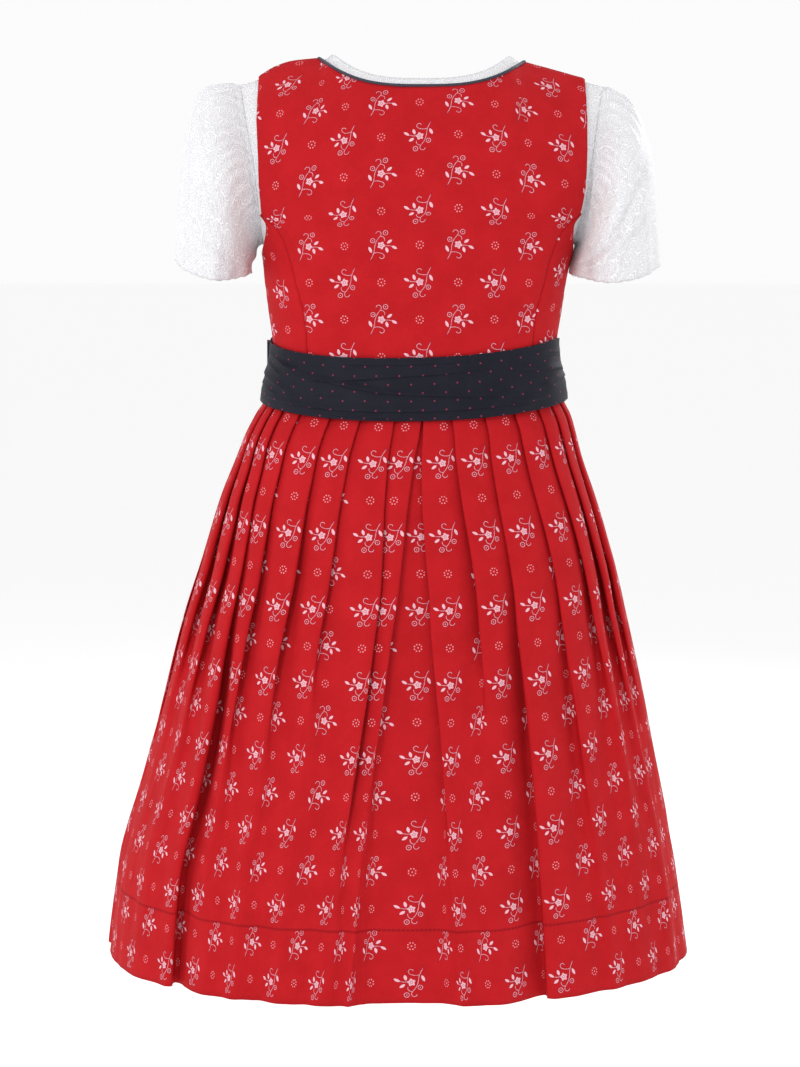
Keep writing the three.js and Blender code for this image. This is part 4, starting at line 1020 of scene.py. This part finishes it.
def skirt_point(angle, down, raise_by):
    turn = np.radians(angle)
    power = 2 / SKIRT_SQUARE
    depth = np.where(np.cos(turn) > 0, skirt_back(down), skirt_front(down))
    wide = skirt_half(down)
    across, along = signed_power(np.sin(turn), power), signed_power(np.cos(turn), power)
    out = unit(np.stack([signed_power(across, SKIRT_SQUARE - 1) / wide,
                         signed_power(along, SKIRT_SQUARE - 1) / depth], -1))
    z = mix(waist_height(angle), HEM_Z, down / SKIRT_LENGTH)
    flat = np.stack([skirt_centre(down) + wide * across, depth * along], -1)
    flat = flat + out * np.asarray(raise_by)[..., None]
    return np.concatenate([flat, np.broadcast_to(z, flat.shape[:-1])[..., None]], -1)


def mm_per_degree(angle, down):
    a, b = (skirt_point(np.array(float(angle) + e), down, np.array(0.0))[:2] for e in (-0.5, 0.5))
    return float(np.linalg.norm(a - b))


def fold_at(fold, down):
    """A fold edge's angle at one level, how strong it is once open, and how far open."""
    waist, mid, hem, opens, mid_depth, hem_depth = fold
    angle = float(curve([0, MID_DOWN, SKIRT_LENGTH], [waist, mid, hem])(down))
    strength = float(np.interp(down, [MID_DOWN, SKIRT_LENGTH], [mid_depth, hem_depth])) / FULL_STRENGTH
    return angle, strength, float(smoothstep(opens - OPENING_RUN, opens + OPENING_RUN, down))


def pleat_controls(folds, side, middle, down):
    """Control points of one side of a skirt half at one level: cloth distance from the
    centre, angle and raise. Each pleat's face lies at full width between two fold edges
    and the cloth left over is tucked there and back under the next edge."""
    state = [fold_at(fold, down) for fold in folds]
    step = LAYER_STEP + down * 0.006
    start, _, share = state[0]
    unit = mm_per_degree(start, down)
    lead = LEAD[side]
    under = max((lead / unit + middle + start) / 2, start + 0.6 / unit)
    flat = min(0.92, (under - middle) * unit / lead)
    under = min(under, mix(start, state[1][0], 0.8))
    rows = [(0, middle, -2.2 * step - 4 * share), (flat * lead, under, -2.2 * step - 1.5 * share),
            (min(flat + 0.04, 0.95) * lead, under, -1.2 * step),
            (0.97 * lead, start + 0.2 / unit, -1.1 * step)]
    for index in range(len(folds)):
        s = lead + index * CLOTH_PER_PLEAT
        here = state[index][0]
        rows.append((s, here, 0))
        if index + 1 == len(folds):
            # The side seam: what is left over goes back under the face and out again to the seam.
            unit = mm_per_degree(mix(here, FULL, 0.5), down)
            face = min(0.96, (FULL - here) * unit / CLOTH_PER_PLEAT)
            back_in = (1 - face) / 2 * CLOTH_PER_PLEAT / unit
            for c, angle, lift in ((0.5 * face, mix(here, FULL, 0.5), -0.3), (face, FULL - 0.15, -0.2),
                                   ((1 + face) / 2, max(FULL - back_in, mix(here, FULL, 0.2)), -step),
                                   (1, FULL, -2 * step)):
                rows.append((s + c * CLOTH_PER_PLEAT, angle, lift))
            break
        there, strength, share = state[index + 1]
        unit = mm_per_degree(mix(here, there, 0.5), down)
        face = min(0.94, (there - here) * unit / CLOTH_PER_PLEAT)
        room = state[index + 2][0] if index + 2 < len(state) else FULL - SIDE_SEAM_CLEAR + 2.5 / unit
        tuck = min(there + (1 - face) / 2 * CLOTH_PER_PLEAT / unit, mix(there, room, 0.62))
        spare = np.clip((1 - face) * CLOTH_PER_PLEAT, 5, 19)
        dip = mix(2 * step, float(spare) * strength * 0.85, share)
        turn = (1 + face) / 2
        relaxed = float((1 - smoothstep(0.4, 0.8, strength)) * smoothstep(150, 300, down))
        for c, angle, lift in ((0.33 * face, mix(here, there, 0.33), -0.12 * share * dip),
                               (0.66 * face, mix(here, there, 0.66), -mix(0.15, 0.42, share) * dip),
                               (face, there, -dip), (turn - 0.012, tuck, -dip),
                               (turn + 0.012, tuck, -dip / 2), (0.978, there + 0.2 / unit, -dip / 2)):
            wave = -0.9 * dip * math.sin(math.pi * c) ** 2
            rows.append((s + c * CLOTH_PER_PLEAT, mix(angle, mix(here, there, c), relaxed),
                         mix(lift, wave, relaxed)))
    return np.array(rows)


def softness(folds, side, s, down):
    """How far along the cloth the folds are smoothed: more down the skirt, less at strong folds."""
    strong = np.zeros_like(s)
    for index, fold in enumerate(folds):
        from_edge = s - LEAD[side] - index * CLOTH_PER_PLEAT
        strong = np.maximum(strong, np.exp(-((from_edge / 26) ** 2)) * (fold[5] > STRONG_AT_HEM))
    return 0.7 + 15 * float(smoothstep(80, 400, down)) * (1 - 0.6 * strong)


def column_runs(folds, side):
    """Cloth distances of the mesh columns: closer together at the folds."""
    total = pleat_controls(folds, side, 0.0, 0.0)[-1, 0]
    s = np.linspace(0, total, 6000)
    density = np.ones_like(s)
    for index in range(len(folds)):
        past = s - (LEAD[side] + index * CLOTH_PER_PLEAT)
        density += 2.2 * np.exp(-((past / 2.2) ** 2)) + 0.5 * np.exp(-(((past - 24) / 3) ** 2))
    run = np.cumsum(density)
    run = (run - run[0]) / (run[-1] - run[0])
    return np.interp(np.linspace(0, 1, int(total / GRID["skirt_column"])), run, s)


# Where on a pleat's face its column of turned sprigs lies, from the fold edge.
SPRIG_ON_FACE = {1: 11.0, -1: 16.0}
HEM_FLARE = 2.2  # mm the hem stands out more than the form
# Waves in the cloth: height, length across and down, and seed. Each grows down the skirt.
SKIRT_WAVES = ((1.6, 34, 150, 21), (0.8, 15, 60, 31))
SKIRT_CRINKLE = (0.35, 8, 22, 41)  # the same all the way down
SKIRT_SWELL = (2.8, 40, 190, 51)  # broad waves round the skirt that move all layers together
SWELL_TURN = 3  # mm across for each degree round the skirt


def skirt_half_points(is_front, left, right):
    """Points and cloth coordinates of the skirt's back or front, from side seam to side seam."""
    rows = np.linspace(0, 1, GRID["skirt_rows"])
    downs = SKIRT_LENGTH * (0.45 * rows ** 1.5 + 0.55 * rows)
    runs = {1: column_runs(left, 1), -1: column_runs(right, -1)}
    points = []
    for down in downs:
        middle = (fold_at(left[0], down)[0] - fold_at(right[0], down)[0]) / 2
        halves = {}
        for side, folds in ((1, left), (-1, right)):
            cloth_at, angle_at, lift_at = pleat_controls(folds, side, middle * side, down).T
            s = runs[side]
            near = [s + o * softness(folds, side, s, down) for o in np.linspace(-1, 1, 9)]
            # The folds at the middle mirror across it, so that the two sides meet smoothly.
            a = np.mean([middle * side + np.sign(n) * (np.interp(np.abs(n), cloth_at, angle_at)
                                                       - middle * side) for n in near], 0)
            r = np.mean([np.interp(np.abs(n), cloth_at, lift_at) for n in near], 0)
            a[-1], r[-1] = angle_at[-1], lift_at[-1]
            loose = smoothstep(0, 16, cloth_at[-1] - s)
            halves[side] = (side * a, r, side * (s - LEAD[side] - SPRIG_ON_FACE[side] + PRINT[0]), loose)
        angle, lift, s, loose = (np.concatenate([b[:0:-1], a]) for a, b in zip(halves[1], halves[-1]))

        def wave(across, tall, long_across, long_down, seed):
            return tall * noise(across, down + 0 * s, long_across, long_down, seed + is_front)
        grow = float(smoothstep(20, 400, down))
        lift = lift + HEM_FLARE * down / SKIRT_LENGTH
        lift = lift + grow * loose * sum(wave(s, *row) for row in SKIRT_WAVES)
        lift = lift + loose * wave(s, *SKIRT_CRINKLE)
        lift = lift + grow * loose * wave(angle * SWELL_TURN, *SKIRT_SWELL)
        points.append(skirt_point(180 - angle if is_front else angle, max(down, SEAM), lift))
    uv = sheet_uv(s if is_front else -s, -(PRINT_DOWN[0] + PRINT_DOWN[1] * downs)[:, None])
    return np.stack(points), uv


def add_skirt():
    for name, folds in (("back", (BACK_LEFT, BACK_RIGHT)), ("front", (FRONT_LEFT, FRONT_RIGHT))):
        points, uv = skirt_half_points(name == "front", *folds)
        soft(cloth(f"skirt_{name}_cloth", points, uv, "red_print_skirt", THICK["skirt"],
                   flip=name == "back", offset=0),
             f"skirt_{name}")


# ---------------------------------------------------------------- apron and bow

def add_apron():
    columns, rows = GRID["apron"]
    share = np.linspace(0, 1, columns)
    points = []
    for level in np.linspace(0, 1, rows):
        down = mix(APRON["top"], APRON["bottom"], level)
        reach = mix(APRON["top_spread"], APRON["hem_spread"], level)
        swing = mix(1.1, 2.6, level)
        drift = 0.012 * np.sin(share * 9 + level * 3) * level
        lift = APRON["stand"] + swing * (1 - np.cos((share + drift) * APRON["gathers"] * 2 * np.pi))
        fine = 1 + np.sin(share * 2 * np.pi * APRON["fine_gathers"] + 1.5 * np.sin(share * 23))
        lift = lift + math.exp(-level / 0.16) * 0.7 * fine
        lift = lift + 0.5 * level * noise(share * 300, down + 0 * share, 22, 70, 61)
        points.append(skirt_point(180 + mix(-reach, reach, share), down, lift))
    points = np.stack(points)
    uv = sheet_uv(-(share - 0.5) * CUT["apron"][0] * PER_M, -run_lengths(points, 0))
    soft(cloth("apron_cloth", points, uv, "navy_dotted", THICK["apron"], flip=True, offset=0),
         "apron")


def bow_frame():
    """Where the knot sits on the sash, and the directions out, along and up from there."""
    angle = np.array(float(BOW["angle"]))
    seat = sash_point(angle, np.array(BOW["share"]), np.array(THICK["sash"]))
    out = unit(form_normal(form_point(angle, seat[2])) * (1, 1, 0))
    return seat, out, np.array([-out[1], out[0], 0.0]), np.array([0, 0, 1.0])


def in_bow(bow, along, deep, tall):
    seat, out, way, up = bow
    along, deep, tall = (v[..., None] for v in np.broadcast_arrays(along, deep, tall))
    return seat + way * along + out * deep + up * tall


def add_band(name, points, thick, flip, node):
    """A closed band of the bow, cut as long as it is round."""
    ring = closed(points)
    around = run_lengths(ring, 1)[len(points) // 2]
    soft(cloth(name, points, sheet_uv(around, run_lengths(ring, 0)), "navy_dotted", thick, ring=True,
               flip=flip),
         node)


def add_bow():
    bow = bow_frame()
    add_knot(bow)
    for name, side in (("left", 1), ("right", -1)):
        add_loop(bow, name, side)
    for name, side in (("left", -1), ("right", 1)):
        add_tail(math.degrees(math.atan2(bow[0][0], bow[0][1])), name, side)


def add_knot(bow):
    """A short band of cloth wrapped round, pulled tight with creases."""
    columns, rows = GRID["knot"]
    turn, share = np.meshgrid(np.linspace(0, 2 * np.pi, columns, endpoint=False), np.linspace(-1, 1, rows))
    shape = 1 - np.abs(share) ** 3.2 * 0.42
    crease = 0.55 * np.cos(share * 9 + 1.5 * np.sin(turn)) + 0.3 * np.cos(share * 21 + 2)
    wide = (BOW["wide"] / 2 - 1.5) * shape + crease * 0.7
    deep = (BOW["deep"] / 2 - 0.8) * shape + crease * 0.6
    points = in_bow(bow, np.cos(turn) * wide, BOW["deep"] / 2 + BOW["seat"] + np.sin(turn) * deep,
                    share * (BOW["high"] / 2 - 1))
    add_band("bow_knot_wrap", points, THICK["band"], False, "bow_knot")


def add_loop(bow, name, side):
    columns, rows = GRID["loop"]
    turn, share = np.meshgrid(np.linspace(0, 2 * np.pi, columns, endpoint=False), np.linspace(-1, 1, rows))
    far = (1 - np.cos(turn)) / 2
    crease = (0.7 * np.cos(share * 8 + side) + 0.35 * np.cos(share * 17 + 1)) * (1 - far) ** 1.2
    middle = mix(BOW["deep"] / 2 + BOW["seat"], LOOP["stand"], far)
    points = in_bow(bow, side * (BOW["wide"] / 2 + SEAM + LOOP["long"] * far),
                    middle + (LOOP["deep"] / 2) * np.sin(turn) + crease * np.sin(turn),
                    share * mix(LOOP["near"], LOOP["far"], far) - 5 * far)
    add_band(f"bow_loop_{name}_cloth", points, THICK["bow"], side > 0, f"bow_loop_{name}")


def add_tail(middle, name, side):
    columns, rows = GRID["tail"]
    across = np.linspace(-1, 1, columns)
    points = []
    for level in np.linspace(0, 1, rows):
        opened = float(smoothstep(0, TAIL["opens"], level))
        down = mix(TAIL["start"], TAIL["end"], level) + TAIL["slant"] * side * across * level
        wide = mix(TAIL["top_half"], TAIL["half"], opened)
        per = 1 / np.array([mm_per_degree(middle, d) for d in down])
        at = middle + side * mix(TAIL["top_turn"], TAIL["turn"], opened)
        lift = TAIL["stand"] + 1.2 * np.cos(across * 4) * level
        lift = lift + math.exp(-level / 0.12) * 0.8 * np.cos(across * 11)
        points.append(skirt_point(at + across * wide * per, down, lift))
    points = np.stack(points)
    uv = sheet_uv(-across * TAIL["half"], -run_lengths(points, 0))
    soft(cloth(f"bow_tail_{name}_cloth", points, uv, "navy_dotted", THICK["bow"], flip=True, offset=0),
         f"bow_tail_{name}")


# A button's outline from its back to the top of its dome: shares of its radius and height.
BUTTON_OUTLINE = np.array([
    (0.0, 0.0), (0.93, 0.0), (1.0, 0.1), (1.0, 0.42), (0.95, 0.58), (0.86, 0.6), (0.82, 0.48),
    (0.76, 0.46), (0.68, 0.6), (0.56, 0.78), (0.42, 0.9), (0.26, 0.93), (0.2, 0.86), (0.14, 0.92),
    (0.07, 0.99), (0.0, 1.0)])
PETAL_HIGH = 0.16  # of the eight petals on a button


def add_buttons():
    columns = GRID["button"]
    turn = np.linspace(0, 2 * np.pi, columns, endpoint=False)[None]
    r, h = BUTTON_OUTLINE.T[..., None] * np.array([BUTTON["radius"], BUTTON["height"]])[:, None, None]
    share = r / BUTTON["radius"]
    h = h + PETAL_HIGH * np.cos(turn * 8) * smoothstep(0.3, 0.5, share) * (1 - smoothstep(0.62, 0.74, share))
    for index in range(BUTTON["count"]):
        z = np.array(float(BUTTON["top"] - index * BUTTON["pitch"]))
        seat = form_point(np.array(180.0), z)
        out = form_normal(seat)
        base = seat + out * (SEAM + BUTTON["radius"] ** 2 / (2 * float(front(z))) * 0.2)
        x = unit(np.cross([0, 0, 1.0], out))
        y = np.cross(out, x)
        points = (base + x * (r * np.cos(turn))[..., None] + y * (r * np.sin(turn))[..., None]
                  + out * h[..., None])
        uv = sheet_uv(np.linspace(0, 38, columns + 1), r)
        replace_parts(cloth(f"button_{index + 1}_metal", points, uv, "button_metal", ring=True),
                    f"button_{index + 1}")


add_bodice()
add_piping()
add_blouse()
for sleeve in SLEEVES:
    add_sleeve(sleeve)
add_sash()
add_skirt()
add_apron()
add_bow()
add_buttons()

# ---------------------------------------------------------------- floor, light, camera

FLOOR_SIZE, FLOOR_Z = 60.0, -1.05
CAMERA = dict(at=(0.0116, 2.35, -0.1403), look=(0.0116, 0.0, -0.3798), lens=96.6, sensor=36)
WORLD_STRENGTH = 0.97


def place(name, data, at, look):
    """An object at a point in metres, turned towards another one."""
    obj = bpy.data.objects.new(name, data)
    obj.location = at
    obj.rotation_euler = (Vector(look) - Vector(at)).to_track_quat("-Z", "Y").to_euler()
    bpy.context.scene.collection.objects.link(obj)
    return obj


def add_stage():
    """A flat pale floor that reaches the horizon."""
    mesh = bpy.data.meshes.new("floor")
    corners = ((-1, -1), (1, -1), (1, 1), (-1, 1))
    mesh.from_pydata([(x * FLOOR_SIZE, y * FLOOR_SIZE, FLOOR_Z) for x, y in corners], [], [(0, 1, 2, 3)])
    floor = bpy.data.objects.new("floor", mesh)
    mesh.materials.append(make_floor())
    bpy.context.scene.collection.objects.link(floor)


def add_light(name, at, size, power, look=(0, 0, -0.36)):
    data = bpy.data.lights.new(name, "AREA")
    data.shape = "DISK"
    data.size = size
    data.energy = power
    place(name, data, at, look)


def add_camera():
    data = bpy.data.cameras.new("camera")
    data.sensor_width = CAMERA["sensor"]
    data.lens = CAMERA["lens"]
    data.clip_end = 100
    bpy.context.scene.camera = place("camera", data, CAMERA["at"], CAMERA["look"])


add_stage()
for name, end in (("back", 1), ("front", -1)):
    add_light(f"{name}_key", (end * 1.6, end * 2.4, 0.9), 1.0, 26, (0, 0, -0.5))
    add_light(f"{name}_fill", (end * -1.9, end * 2.2, 0.3), 2.0, 3)
for name, side in (("left", 1), ("right", -1)):
    add_light(f"{name}_side", (side * 2.7, 0.0, -0.2), 1.6, 6)
world = bpy.data.worlds.new("studio")
world.use_nodes = True
background = world.node_tree.nodes["Background"]
background.inputs["Color"].default_value = (1, 1, 1, 1)
background.inputs["Strength"].default_value = WORLD_STRENGTH
bpy.context.scene.world = world
bpy.context.scene.view_settings.view_transform = "Standard"
add_camera()
